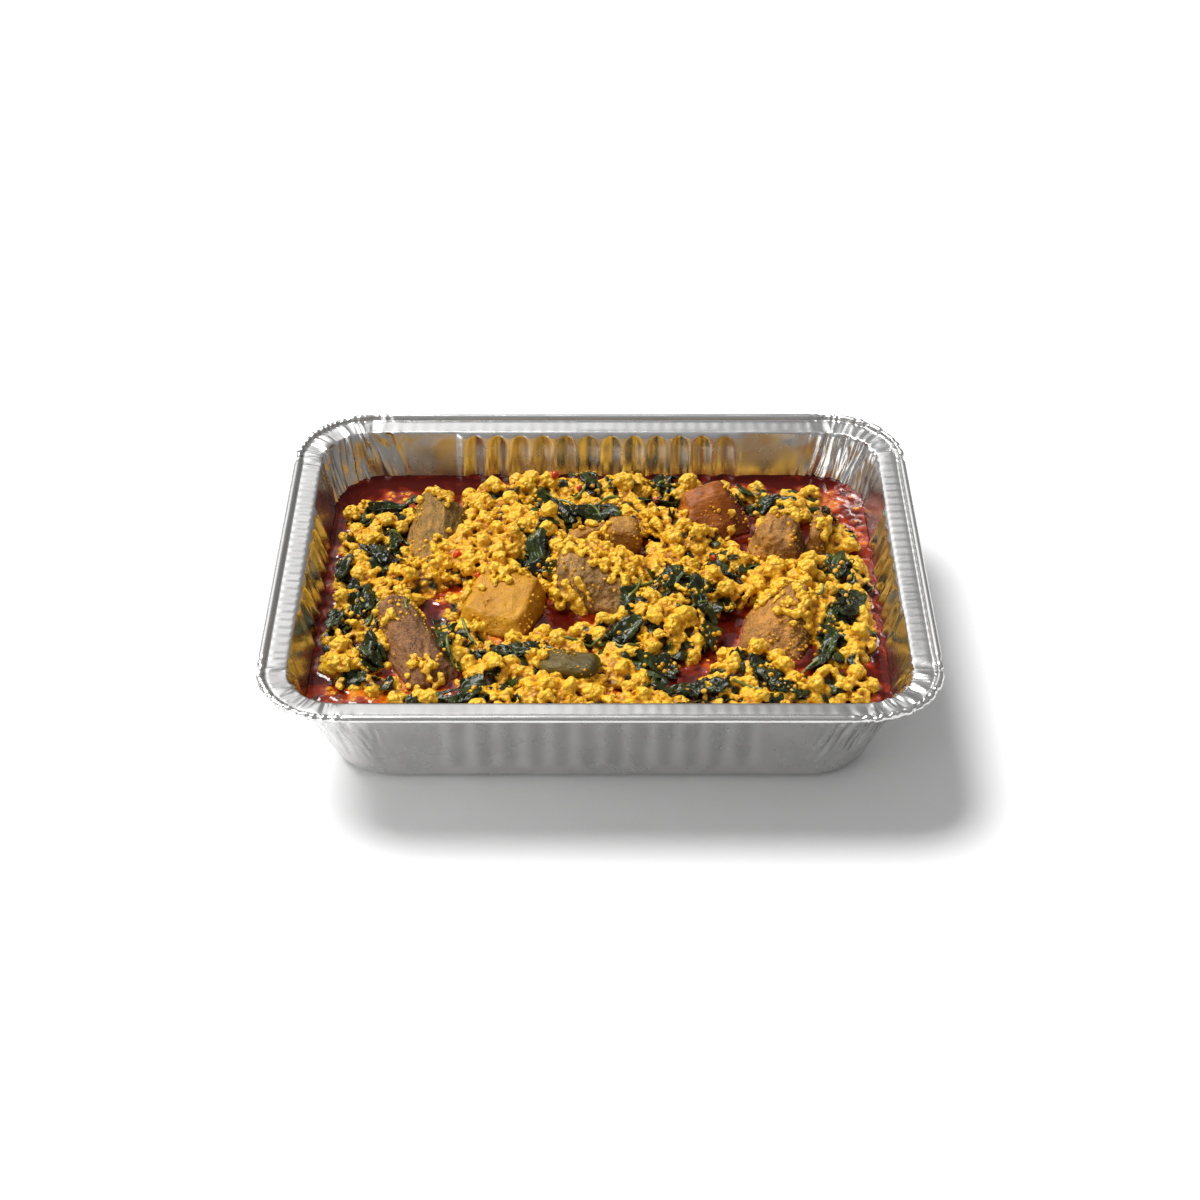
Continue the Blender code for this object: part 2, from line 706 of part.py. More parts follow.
def make_leaf(number, form, tree, collection, finish):
    """A cooked leaf: a thin wavy sheet that lies over what is under it."""
    x, y, length, width, turn = form
    along, across = 5, 3 if width > 10 else 2
    shape = bmesh.new()
    place = Matrix.Translation((x, y, 0)) @ Matrix.Rotation(math.radians(turn), 4, "Z")
    rows = []
    for i in range(along):
        u = 2 * i / (along - 1) - 1
        half = width / 2 * (0.28 + 0.72 * math.sqrt(max(0.0, 1 - u * u)))
        bend = 0.12 * length * math.sin(2.2 * u + number)
        row = []
        for j in range(across):
            w = 2 * j / (across - 1) - 1
            point = place @ Vector((u * length / 2, w * half + bend, 0))
            wave = 0.7 * math.sin(3.1 * u + 2.0 * w + number) + 0.7
            point.z = surface_level(point.x, point.y, tree, 2.2) + 0.75 + wave
            row.append(shape.verts.new(point))
        rows.append(row)
    for low, high in zip(rows, rows[1:]):
        for j in range(across - 1):
            shape.faces.new((low[j], high[j], high[j + 1], low[j + 1]))
    bmesh.ops.recalc_face_normals(shape, faces=shape.faces)
    bmesh.ops.triangulate(shape, faces=shape.faces)
    name = f"leaf_{number:02d}"
    leaf = add_object(name, mesh_from(shape, name), collection, finish)
    skin = leaf.modifiers.new("leaf", "SOLIDIFY")
    skin.thickness = 0.7 * MM
    skin.offset = 0.0
    apply_modifiers(leaf)
    for step in range(8):
        own = tree_of([leaf])
        if not own.overlap(tree):
            break
        leaf.data.transform(Matrix.Translation((0, 0, 0.4 * MM)))
    return leaf


def make_leaves(under, collection):
    """Every leaf, each laid over the heaps, the meat and the leaves before it."""
    finish = material("leaf_green", (0.02, 0.05, 0.012), 0.3)
    made = []
    for number, form in enumerate(LEAVES, 1):
        tree = tree_of(under + made)
        made.append(make_leaf(number, form, tree, collection, finish))
    return made


def main():
    """Builds the whole part."""
    noise.seed_set(SEED)
    for made in list(bpy.data.objects):
        bpy.data.objects.remove(made)
    parts = bpy.data.collections.new("foil_tray_meal")
    tools = bpy.data.collections.new("cutters")
    for collection in (parts, tools):
        bpy.context.scene.collection.children.link(collection)
    make_pan(parts)
    make_stew(parts)
    meats = make_meats(parts, tools)
    core = make_core(parts, tools)
    leaves = make_leaves([core] + meats, parts)
    fuse_curds(core, meats + leaves, tools)
    cut_round_meat(core, meats, tools)
    make_heaps(core, parts, material("seed_curd", (0.72, 0.40, 0.03), 0.5))


main()
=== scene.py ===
"""A foil tray meal: a pressed foil tray of seed curd stew with meat and leaves in red oil.

Sizes are in millimetres unless a line says otherwise, and become metres as a mesh is made.
"""

import math

import bmesh
import bpy
import numpy as np
from bpy.props import FloatProperty, FloatVectorProperty, IntProperty, PointerProperty
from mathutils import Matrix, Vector, geometry
from mathutils.bvhtree import BVHTree
from mathutils.kdtree import KDTree


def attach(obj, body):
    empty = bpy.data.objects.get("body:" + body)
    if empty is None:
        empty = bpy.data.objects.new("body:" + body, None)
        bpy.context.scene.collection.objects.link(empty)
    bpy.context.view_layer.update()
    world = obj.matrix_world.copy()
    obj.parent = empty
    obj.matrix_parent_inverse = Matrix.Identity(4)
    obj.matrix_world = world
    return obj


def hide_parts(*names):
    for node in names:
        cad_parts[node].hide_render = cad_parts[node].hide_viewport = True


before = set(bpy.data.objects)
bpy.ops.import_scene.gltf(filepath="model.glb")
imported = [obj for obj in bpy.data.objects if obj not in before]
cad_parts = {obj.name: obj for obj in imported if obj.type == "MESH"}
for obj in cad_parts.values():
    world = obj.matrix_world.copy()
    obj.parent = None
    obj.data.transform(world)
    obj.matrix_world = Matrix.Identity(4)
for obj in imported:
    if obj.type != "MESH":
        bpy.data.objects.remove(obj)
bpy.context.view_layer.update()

bl_info = {
    "name": "Foil Tray Meal",
    "version": (1, 0, 0),
    "blender": (4, 5, 0),
    "location": "3D View > Sidebar > Tray Meal",
    "description": "Builds a foil tray of seed curd stew with meat and leaves",
    "category": "Add Mesh",
}

MM = 0.001

# The tray's form, as the solids have it.
RIM = (162.0, 132.0)
RIM_TOP = 64.5
BASE = (130.0, 98.8)
DRAFT = 0.29
FOLD_Z = 61.0
FOLD_CORNER = 26.2
BASE_CORNER = 31.0
RIM_CORNER = 40.5
FILLET = 8.5
BEAD = 2.0
PITCH = 12.3
GROOVES = (12, 7)
STEW_LEVEL = 37.0

HEAPS = sorted(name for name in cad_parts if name.startswith("egusi_heap"))
LEAVES = sorted(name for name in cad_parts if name.startswith("leaf_"))
MEATS = sorted(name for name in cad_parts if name.startswith("meat_"))


# Sizes and colours


class TrayProperties(bpy.types.PropertyGroup):
    """The foil tray."""

    sheet: FloatProperty(name="Sheet", description="Thickness, in millimetres", default=0.3, min=0.1)
    rib_depth: FloatProperty(name="Rib depth", description="Ridge to groove, in millimetres", default=2.0)
    rib_top: FloatProperty(name="Rib top", description="Arched ends' level, in millimetres", default=59.8)
    rib_foot: FloatProperty(name="Rib foot", description="Lower ends' level, in millimetres", default=9.5)
    pleat_depth: FloatProperty(name="Pleat depth", description="Corner pleats, in millimetres", default=1.7)
    crimp_depth: FloatProperty(name="Crimp depth", description="Rim crimps, in millimetres", default=1.3)
    colour: FloatVectorProperty(name="Foil", description="Colour of the foil", subtype="COLOR", size=3,
                                default=(0.705, 0.70, 0.69), min=0, max=1)


class OilProperties(bpy.types.PropertyGroup):
    """The stew's surface of red oil."""

    step: FloatProperty(name="Step", description="Between the surface's points", default=1.2, min=0.8)
    meniscus: FloatProperty(name="Meniscus", description="Climb at its edges, in millimetres", default=1.0)
    deep: FloatVectorProperty(name="Deep", description="Colour of deep oil", subtype="COLOR", size=3,
                              default=(0.060, 0.004, 0.002), min=0, max=1)
    shallow: FloatVectorProperty(name="Shallow", description="Colour of shallow oil", subtype="COLOR", size=3,
                                 default=(0.32, 0.026, 0.003), min=0, max=1)
    sunken: FloatVectorProperty(name="Sunken", description="Colour of curd just under the oil",
                                subtype="COLOR", size=3, default=(0.70, 0.20, 0.010), min=0, max=1)


class CurdProperties(bpy.types.PropertyGroup):
    """The heaps of seed curd."""

    seed: IntProperty(name="Seed", description="Chooses where the curds lie", default=11)
    voxel: FloatProperty(name="Grain", description="Finest size of the heaps' relief", default=0.85, min=0.6)
    sink: FloatProperty(name="Gaps", description="Depth between the curds, in millimetres", default=2.6)
    # The light colour is painted highlight, laid on the curds' crests.
    light: FloatVectorProperty(name="Light", description="Colour of a curd's top", subtype="COLOR", size=3,
                               default=(0.90, 0.53, 0.035), min=0, max=1)
    golden: FloatVectorProperty(name="Golden", description="Colour of the curd", subtype="COLOR", size=3,
                                default=(0.82, 0.385, 0.006), min=0, max=1)
    # The crevice colour is painted shade, laid in the hollows between the curds.
    crevice_shade: FloatVectorProperty(name="Crevice", description="Colour between the curds",
                                 subtype="COLOR", size=3, default=(0.36, 0.13, 0.005), min=0, max=1)


class MeatProperties(bpy.types.PropertyGroup):
    """The pieces of meat."""

    voxel: FloatProperty(name="Grain", description="Finest size of the meat's relief", default=0.9, min=0.6)


class LeafProperties(bpy.types.PropertyGroup):
    """The cooked leaves."""

    crumple: FloatProperty(name="Crumple", description="How far the leaves fold, in millimetres", default=1.5)
    voxel: FloatProperty(name="Grain", description="Finest size of the leaves' relief", default=0.75, min=0.6)
    scrap_gap: FloatProperty(name="Scrap gap", description="Gap between scraps of leaf", default=6.2, min=3.0)
    dark: FloatVectorProperty(name="Dark", description="Colour of the leaves", subtype="COLOR", size=3,
                              default=(0.011, 0.015, 0.002), min=0, max=1)
    green: FloatVectorProperty(name="Green", description="Lighter green of the leaves",
                               subtype="COLOR", size=3, default=(0.048, 0.075, 0.010), min=0, max=1)


class BitsProperties(bpy.types.PropertyGroup):
    """The leaf stems and the bits of pepper."""

    stem: FloatVectorProperty(name="Stems", description="Colour of the leaf stems", subtype="COLOR", size=3,
                              default=(0.16, 0.20, 0.030), min=0, max=1)
    pepper: FloatVectorProperty(name="Pepper", description="Colour of the pepper", subtype="COLOR", size=3,
                                default=(0.72, 0.045, 0.008), min=0, max=1)


class StageProperties(bpy.types.PropertyGroup):
    """Camera, light and floor."""

    lens: FloatProperty(name="Lens", description="Focal length", default=72.0, unit="CAMERA")
    distance: FloatProperty(name="Distance", description="Of the camera", default=1.22, unit="LENGTH")
    elevation: FloatProperty(name="Elevation", description="Of the camera over the horizon",
                             default=math.radians(36.4), subtype="ANGLE")
    key: FloatProperty(name="Key", description="Strength of the main light, from behind left", default=4.1)
    panel: FloatProperty(name="Panel", description="Power of the soft panel behind, in watts", default=8.8)
    fill: FloatProperty(name="Fill", description="Strength of the light overhead", default=0.42)
    low: FloatProperty(name="Low fill", description="Power of the low light in front, in watts", default=0.65)


# Noise


def chance(cells, seed):
    """A repeatable number from 0 to 1 for each cell of a lattice."""
    mixed = cells[..., 0] * 374761393 + cells[..., 1] * 668265263 + cells[..., 2] * 2147483647
    mixed = (mixed + seed * 974634777) & 0x7FFFFFFFFFFF
    mixed = ((mixed ^ (mixed >> 13)) * 1274126177) & 0x7FFFFFFFFFFF
    mixed = ((mixed ^ (mixed >> 17)) * 1103515245) & 0x7FFFFFFFFFFF
    return ((mixed ^ (mixed >> 15)) & 0xFFFFFF) / 0xFFFFFF


def waves(points, size, seed=0):
    """Smooth noise from -1 to 1 at each point, with bumps of a given size."""
    scaled = points / size
    base = np.floor(scaled).astype(np.int64)
    part = scaled - base
    soft = part * part * (3 - 2 * part)
    total = 0.0
    for corner in np.ndindex(2, 2, 2):
        weight = np.prod(np.where(corner, soft, 1 - soft), axis=-1)
        total = total + weight * chance(base + corner, seed)
    return 2 * total - 1


def folds(points, size, seed=0):
    """Noise from 0 to 1 with sharp crests, as in creased foil."""
    return 1 - np.abs(waves(points, size, seed)) * 1.6


def smooth(share):
    """An eased step from 0 to 1."""
    share = np.clip(share, 0.0, 1.0)
    return share * share * (3 - 2 * share)


def shifts(points, size, seed):
    """A smooth random direction at each point."""
    return np.stack([waves(points, size, seed + axis) for axis in range(3)], axis=-1)


# Meshes

# How far under the stew's surface hidden food is cut off.
CUT_DEPTH = 0.8


def mesh_of(name, points, faces):
    """A smooth mesh in metres from points in millimetres."""
    mesh = bpy.data.meshes.new(name)
    mesh.from_pydata(np.asarray(points) * MM, [], faces)
    mesh.shade_smooth()
    return mesh


def points_of(mesh):
    """A mesh's points in millimetres."""
    flat = np.empty(len(mesh.vertices) * 3)
    mesh.vertices.foreach_get("co", flat)
    return flat.reshape(-1, 3) / MM


def normals_of(mesh):
    """A mesh's point normals."""
    flat = np.empty(len(mesh.vertices) * 3)
    mesh.vertices.foreach_get("normal", flat)
    return flat.reshape(-1, 3)


def triangles_of(mesh):
    """A mesh's triangles as rows of three points."""
    mesh.calc_loop_triangles()
    flat = np.empty(len(mesh.loop_triangles) * 3, np.int32)
    mesh.loop_triangles.foreach_get("vertices", flat)
    return flat.reshape(-1, 3)


def set_points(mesh, points):
    """Moves a mesh's points, given in millimetres."""
    mesh.vertices.foreach_set("co", (points * MM).ravel())
    mesh.update()


def add_piece(name, mesh, material, nodes=(), slot=None):
    """A piece of the meal, which rides on the tray and stands for its solids."""
    piece = bpy.data.objects.new(name, mesh)
    bpy.context.scene.collection.objects.link(piece)
    mesh.materials.clear()
    mesh.materials.append(material)
    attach(piece, "root")
    if nodes:
        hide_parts(*nodes)
    return piece


def modified(mesh, kind, **settings):
    """The mesh after one modifier."""
    holder = bpy.data.objects.new("holder", mesh)
    bpy.context.scene.collection.objects.link(holder)
    modifier = holder.modifiers.new("step", kind)
    for key, value in settings.items():
        setattr(modifier, key, value)
    graph = bpy.context.evaluated_depsgraph_get()
    made = bpy.data.meshes.new_from_object(holder.evaluated_get(graph))
    bpy.data.objects.remove(holder)
    return made


def lighter(mesh, most):
    """The mesh with no more than a number of triangles."""
    share = most / len(triangles_of(mesh))
    return modified(mesh, "DECIMATE", ratio=share) if share < 1 else mesh


def over_stew(mesh):
    """The mesh without what lies wholly under the stew's surface, closed there by a flat face."""
    shape = bmesh.new()
    shape.from_mesh(mesh)
    everything = shape.verts[:] + shape.edges[:] + shape.faces[:]
    level = (STEW_LEVEL - CUT_DEPTH) * MM
    bmesh.ops.bisect_plane(shape, geom=everything, plane_co=(0, 0, level), plane_no=(0, 0, 1),
                           clear_inner=True)
    open_edges = [edge for edge in shape.edges if edge.is_boundary]
    bmesh.ops.holes_fill(shape, edges=open_edges, sides=0)
    bmesh.ops.triangulate(shape, faces=[face for face in shape.faces if len(face.verts) > 4])
    shape.to_mesh(mesh)
    shape.free()
    return mesh


def even_skin(mesh, voxel):
    """One closed skin round everything in a mesh, with faces of one size."""
    return modified(mesh, "REMESH", mode="VOXEL", voxel_size=voxel * MM)


def relaxed(mesh, points, rounds, share=0.5):
    """Points drawn towards their neighbours, some rounds over."""
    edges = np.empty(len(mesh.edges) * 2, np.int32)
    mesh.edges.foreach_get("vertices", edges)
    first, last = edges.reshape(-1, 2).T
    count = len(points)
    degree = np.bincount(first, minlength=count) + np.bincount(last, minlength=count)
    for _ in range(rounds):
        total = np.empty_like(points)
        for axis in range(3):
            total[:, axis] = (np.bincount(first, points[last, axis], count)
                              + np.bincount(last, points[first, axis], count))
        points = points + share * (total / degree[:, None] - points)
    return points


def set_value(mesh, name, values):
    """Stores one number for each point of a mesh."""
    layer = mesh.attributes.new(name, "FLOAT", "POINT")
    layer.data.foreach_set("value", np.asarray(values, np.float32))


def joined(parts):
    """One mesh's points and triangles from several."""
    points, faces, first = [], [], 0
    for some_points, some_faces in parts:
        points.append(some_points)
        faces.append(some_faces + first)
        first += len(some_points)
    return np.concatenate(points), np.concatenate(faces)


def ball(detail):
    """Points and triangles of a ball of radius 1."""
    shape = bmesh.new()
    bmesh.ops.create_icosphere(shape, subdivisions=detail, radius=1.0)
    points = np.array([v.co for v in shape.verts])
    faces = np.array([[v.index for v in face.verts] for face in shape.faces])
    shape.free()
    return points, faces


def balls(centres, radii, detail, draw):
    """Points and triangles of many uneven balls."""
    points, faces = ball(detail)
    count = len(centres)
    stretch = draw.uniform(0.78, 1.22, (count, 1, 3))
    spin = draw.normal(size=(count, 3, 3))
    turns = np.linalg.qr(spin)[0]
    rows = np.einsum("kij,kpj->kpi", turns, points[None] * stretch)
    rows = rows * radii[:, None, None] + centres[:, None, :]
    steps = np.arange(count)[:, None, None] * len(points)
    return rows.reshape(-1, 3), (faces[None] + steps).reshape(-1, 3)


def thinned(points, apart):
    """The rows of points that are kept so that none are closer than a distance."""
    kept, cells = [], {}
    for index, (x, y, z) in enumerate(points.tolist()):
        home = (int(x // apart), int(y // apart), int(z // apart))
        near = (cells.get((home[0] + i, home[1] + j, home[2] + k), ())
                for i in (-1, 0, 1) for j in (-1, 0, 1) for k in (-1, 0, 1))
        if all((x - p) ** 2 + (y - q) ** 2 + (z - r) ** 2 >= apart * apart
               for cell in near for p, q, r in cell):
            cells.setdefault(home, []).append((x, y, z))
            kept.append(index)
    return np.array(kept, int)


def strewn(mesh, count, apart, draw, up=0.0, level=STEW_LEVEL):
    """Seeded places on a mesh over the stew, with their normals, none closer than a distance."""
    points, faces = points_of(mesh), triangles_of(mesh)
    a, b, c = (points[faces[:, i]] for i in range(3))
    normals = np.cross(b - a, c - a)
    area = np.linalg.norm(normals, axis=1) / 2
    normals /= np.maximum(2 * area[:, None], 1e-9)
    weight = area * ((normals[:, 2] > up) & (a[:, 2] > level))
    chosen = draw.choice(len(faces), count, p=weight / weight.sum())
    s, t = draw.random((2, count, 1))
    over = s + t > 1
    s, t = np.where(over, 1 - s, s), np.where(over, 1 - t, t)
    places = a[chosen] + (b - a)[chosen] * s + (c - a)[chosen] * t
    kept = thinned(places, apart)
    return places[kept], normals[chosen][kept]


def tree_of(points):
    """A search tree over points."""
    tree = KDTree(len(points))
    for index, point in enumerate(points):
        tree.insert(point, index)
    tree.balance()
    return tree


def gaps_to(tree, points):
    """The distance from each point to the nearest of a tree."""
    return np.array([tree.find(point)[2] for point in points])


# Finishes

# The painted shade deep between the curds, and the colour of meat where oil soaks it.
DEEP_GAP_SHADE = (0.10, 0.024, 0.002)
SOAKED_MEAT = (0.16, 0.03, 0.006)
# How far the middles of the curd's fine knobs are stirred, in metres.
KNOB_STIR = 0.0012


def add_node(tree, kind, inputs=None, **settings):
    """A shader node with its settings, values and links."""
    made = tree.nodes.new(kind)
    for key, value in settings.items():
        setattr(made, key, value)
    for key, value in (inputs or {}).items():
        if isinstance(value, bpy.types.NodeSocket):
            tree.links.new(value, made.inputs[key])
        else:
            made.inputs[key].default_value = value
    return made


def finish(name):
    """A material, its node tree and its surface shader."""
    made = bpy.data.materials.new(name)
    made.use_nodes = True
    tree = made.node_tree
    return made, tree, tree.nodes["Principled BSDF"]


def grain(tree, scale, detail=3.0, rough=0.55, drawn=None, turn=0.0):
    """Noise in the object's space, finer at a larger scale, which may be drawn out one way."""
    place = add_node(tree, "ShaderNodeTexCoord").outputs["Object"]
    if drawn:
        longer = tuple(1 / share for share in drawn)
        place = add_node(tree, "ShaderNodeMapping",
                         {"Vector": place, "Rotation": (0, 0, math.radians(turn)), "Scale": longer},
                         vector_type="TEXTURE").outputs["Vector"]
    return add_node(tree, "ShaderNodeTexNoise",
                    {"Vector": place, "Scale": scale, "Detail": detail, "Roughness": rough}).outputs["Fac"]


def blend(tree, factor, first, last):
    """A mix of two colours."""
    made = add_node(tree, "ShaderNodeMix", data_type="RGBA")
    for index, value in ((0, factor), (6, first), (7, last)):
        if isinstance(value, bpy.types.NodeSocket):
            tree.links.new(value, made.inputs[index])
        elif index:
            made.inputs[index].default_value = (*value, 1.0)
        else:
            made.inputs[index].default_value = value
    return made.outputs[2]


def ramp(tree, value, low, high, bottom=0.0, top=1.0):
    """A number taken from one range to another, and kept in it."""
    return add_node(tree, "ShaderNodeMapRange", {"Value": value, "From Min": low, "From Max": high,
                                                 "To Min": bottom, "To Max": top}).outputs["Result"]


def added(tree, first, second):
    """The sum of two numbers."""
    return add_node(tree, "ShaderNodeMath", {0: first, 1: second}, operation="ADD").outputs[0]


def tinted(colour, share):
    """A colour made darker or lighter."""
    return tuple(min(share * part, 1.0) for part in colour)


def stored(tree, name):
    """A number stored in the mesh."""
    return add_node(tree, "ShaderNodeAttribute", attribute_name=name).outputs["Fac"]


def bumps(tree, height, distance, strength=0.6):
    """A normal from small relief, its distance in metres."""
    return add_node(tree, "ShaderNodeBump", {"Height": height, "Distance": distance,
                                             "Strength": strength}).outputs["Normal"]


def foil_finish(tray):
    """Bright rolled foil with faint rolling lines and handling marks, and painted shade that follows the
    pressed ribs.
    """
    made, tree, shader = finish("bright_foil")
    shader.inputs["Metallic"].default_value = 1.0
    marks = grain(tree, 45.0, 4.0)
    lines = grain(tree, 260.0, 3.0, drawn=(0.06, 1.0, 1.0))
    # Handling marks, and painted shade from how far the wall is pressed out at each rib.
    marks_and_rib_shade = added(tree, ramp(tree, marks, 0.35, 0.7, 0.0, 0.45),
                 ramp(tree, stored(tree, "pressed"), -1.1, 1.1, 0.0, 0.75))
    colour = blend(tree, marks_and_rib_shade, tinted(tray.colour, 1.08), tinted(tray.colour, 0.72))
    tree.links.new(colour, shader.inputs["Base Color"])
    tree.links.new(ramp(tree, marks, 0.3, 0.7, 0.20, 0.33), shader.inputs["Roughness"])
    height = added(tree, lines, grain(tree, 120.0, 4.0))
    tree.links.new(bumps(tree, height, 0.00012, 0.5), shader.inputs["Normal"])
    return made


def oil_finish(oil):
    """Deep red oil, orange where curd lies just under it."""
    made, tree, shader = finish("red_palm_oil")
    shallow = stored(tree, "shallow")
    mottle = grain(tree, 170.0, 4.0)
    depth = added(tree, shallow, ramp(tree, mottle, 0.35, 0.65, -0.16, 0.16))
    red = blend(tree, ramp(tree, depth, 0.10, 0.55), oil.deep, oil.shallow)
    tree.links.new(blend(tree, ramp(tree, depth, 0.50, 0.95), red, oil.sunken), shader.inputs["Base Color"])
    shader.inputs["Roughness"].default_value = 0.07
    shader.inputs["IOR"].default_value = 1.40
    shader.inputs["Specular IOR Level"].default_value = 0.14
    tree.links.new(ramp(tree, stored(tree, "climb"), 0.08, 0.35), shader.inputs["Coat Weight"])
    shader.inputs["Coat Roughness"].default_value = 0.05
    tree.links.new(bumps(tree, grain(tree, 55.0, 1.0), 0.0004, 0.12), shader.inputs["Normal"])
    return made


def curd_finish(curd, oil, leaf):
    """Moist seed curd: painted highlight on the tops, painted shade between the curds, darkest in the gaps
    where bits of dark leaf are mixed in, orange at the oil.
    """
    made, tree, shader = finish("seed_curd")
    crest = stored(tree, "crest")
    patch = grain(tree, 75.0, 3.0)
    body = blend(tree, ramp(tree, patch, 0.38, 0.62), curd.golden, tinted(curd.golden, 0.86))
    # Painted highlight on the crests, then painted shade in the hollows.
    body = blend(tree, ramp(tree, crest, 0.55, 1.0), body, curd.light)
    body = blend(tree, ramp(tree, crest, 0.46, 0.08), body, curd.crevice_shade)
    knobs = knob_distance(tree, 400.0)
    # Painted shade round the edges of the fine knobs.
    body = blend(tree, ramp(tree, knobs, 0.50, 0.85, 0.0, 0.45), body, curd.crevice_shade)
    # Deep in the gaps: painted shade, mixed with patches of dark leaf.
    gap = blend(tree, ramp(tree, grain(tree, 210.0, 3.0), 0.44, 0.56), DEEP_GAP_SHADE, leaf.dark)
    body = blend(tree, ramp(tree, stored(tree, "depth"), 0.75, 0.25), body, gap)
    soaked = added(tree, stored(tree, "soaked"), ramp(tree, patch, 0.3, 0.7, -0.2, 0.2))
    body = blend(tree, ramp(tree, soaked, 0.25, 1.0), body, oil.sunken)
    tree.links.new(body, shader.inputs["Base Color"])
    tree.links.new(ramp(tree, grain(tree, 320.0, 2.0), 0.3, 0.7, 0.22, 0.42), shader.inputs["Roughness"])
    shader.inputs["Specular IOR Level"].default_value = 0.32
    shader.inputs["Subsurface Weight"].default_value = 0.1
    shader.inputs["Subsurface Radius"].default_value = (0.9, 0.4, 0.1)
    shader.inputs["Subsurface Scale"].default_value = 0.001
    knobbly = added(tree, grain(tree, 900.0, 2.0), ramp(tree, knobs, 0.1, 0.75, 2.0, 0.0))
    tree.links.new(bumps(tree, knobbly, 0.0008, 0.7), shader.inputs["Normal"])
    return made


def knob_distance(tree, scale):
    """The distance from the nearest of many scattered middles, as over a knobbly skin."""
    place = add_node(tree, "ShaderNodeTexCoord").outputs["Object"]
    noise = add_node(tree, "ShaderNodeTexNoise", {"Vector": place, "Scale": scale * 0.8, "Detail": 1.0})
    stir = add_node(tree, "ShaderNodeVectorMath", {0: noise.outputs["Color"], 1: (KNOB_STIR,) * 3},
                    operation="MULTIPLY").outputs[0]
    place = add_node(tree, "ShaderNodeVectorMath", {0: place, 1: stir}, operation="ADD").outputs[0]
    return add_node(tree, "ShaderNodeTexVoronoi", {"Vector": place, "Scale": scale}).outputs["Distance"]


def leaf_finish(leaf):
    """Wet dark cooked leaf with veins."""
    made, tree, shader = finish("cooked_leaf")
    shade = grain(tree, 110.0, 4.0)
    colour = blend(tree, ramp(tree, shade, 0.48, 0.72), leaf.dark, leaf.green)
    tree.links.new(colour, shader.inputs["Base Color"])
    shader.inputs["Roughness"].default_value = 0.24
    shader.inputs["Specular IOR Level"].default_value = 0.27
    shader.inputs["Coat Weight"].default_value = 0.10
    shader.inputs["Coat Roughness"].default_value = 0.08
    tree.links.new(bumps(tree, grain(tree, 330.0, 4.0, 0.6), 0.0007, 0.8), shader.inputs["Normal"])
    return made


def wet_finish(name, colour):
    """A wet skin of one colour, mottled."""
    made, tree, shader = finish(name)
    mottled = blend(tree, ramp(tree, grain(tree, 240.0), 0.35, 0.65), colour, tinted(colour, 0.6))
    tree.links.new(mottled, shader.inputs["Base Color"])
    shader.inputs["Roughness"].default_value = 0.25
    tree.links.new(bumps(tree, grain(tree, 500.0), 0.0005, 0.5), shader.inputs["Normal"])
    return made


def meat_finish(name, light, dark, gloss, turn, drawn):
    """Wet cooked meat, its fibres drawn out along one way, and grainy where it isn't glossy skin, with
    painted shade on the sides that face right.
    """
    made, tree, shader = finish(name)
    coarse = float(smooth((gloss - 0.2) / 0.2))
    fibres = grain(tree, 420.0, 5.0, 0.65, (drawn, 1.0, 1.0), turn)
    patch = grain(tree, 90.0, 3.0)
    speck = grain(tree, 800.0, 3.0, 0.6)
    # Painted shade: the sides that face right, away from the key light, turn to the dark colour.
    shade_normal = add_node(tree, "ShaderNodeNewGeometry").outputs["Normal"]
    side = add_node(tree, "ShaderNodeSeparateXYZ", {0: shade_normal})
    body = blend(tree, ramp(tree, patch, 0.36, 0.66, 0.0, 0.7), light, dark)
    body = blend(tree, ramp(tree, side.outputs["X"], -0.25, 0.75), body, dark)
    body = blend(tree, ramp(tree, fibres, 0.52, 0.75, 0.0, 0.6), body, tinted(dark, 0.4))
    body = blend(tree, ramp(tree, speck, 0.50, 0.68, 0.0, 0.5 * coarse), body, tinted(dark, 0.5))
    body = blend(tree, ramp(tree, speck, 0.48, 0.32, 0.0, 0.4 * coarse), body, tinted(light, 1.3))
    low = ramp(tree, stored(tree, "soaked"), 0.1, 1.0, 0.0, 0.75)
    tree.links.new(blend(tree, low, body, SOAKED_MEAT), shader.inputs["Base Color"])
    shader.inputs["Roughness"].default_value = gloss
    shader.inputs["Specular IOR Level"].default_value = 0.28
    height = added(tree, fibres, ramp(tree, speck, 0.0, 1.0, 0.0, coarse))
    tree.links.new(bumps(tree, height, 0.0012, 0.9), shader.inputs["Normal"])
    return made


# The tray

# Ribs: half the flat part of a groove, how far the ribbed run goes past the last one in pitches, and the
# distance between its stations.
RIB_FLAT = 1.2
RIB_MARGIN = 0.45
RIB_STEP = 0.62
# Corners: how far the pleats and the rim's crimps go past the bend, how soon the crimps fade, the sizes of
# pleats and of finer creases, and how far apart two corners lie in the noise that shapes them.
PLEAT_REACH = 20.0
CRIMP_REACH = 5.0
CRIMP_FADE = 4.0
PLEAT_SIZE = 3.3
CREASE_SIZE = 1.7
CORNER_APART = 50.0
# The rings: levels on the wall, shares and levels of the flat rim, and turns of its bead in degrees.
WALL_LEVELS = (*np.linspace(9.5, 53.0, 14), *np.linspace(54.6, 60.4, 6))
FLAT_RIM = ((0.0, 61.0), (0.05, 61.3), (0.14, 61.5), (0.3, 61.7), (0.45, 61.9), (0.56, 62.0), (0.63, 61.95))
BEAD_TURNS = (205, 175, 145, 115, 85, 55, 25, -5, -35, -70)
# Fine ripples of the flat rim: their length, and their height on the short and on the long sides.
RIPPLE_PITCH = 6.4
END_RIPPLE = 0.16
LONG_RIPPLE = 0.035
CREASE_DEPTH = 1.15


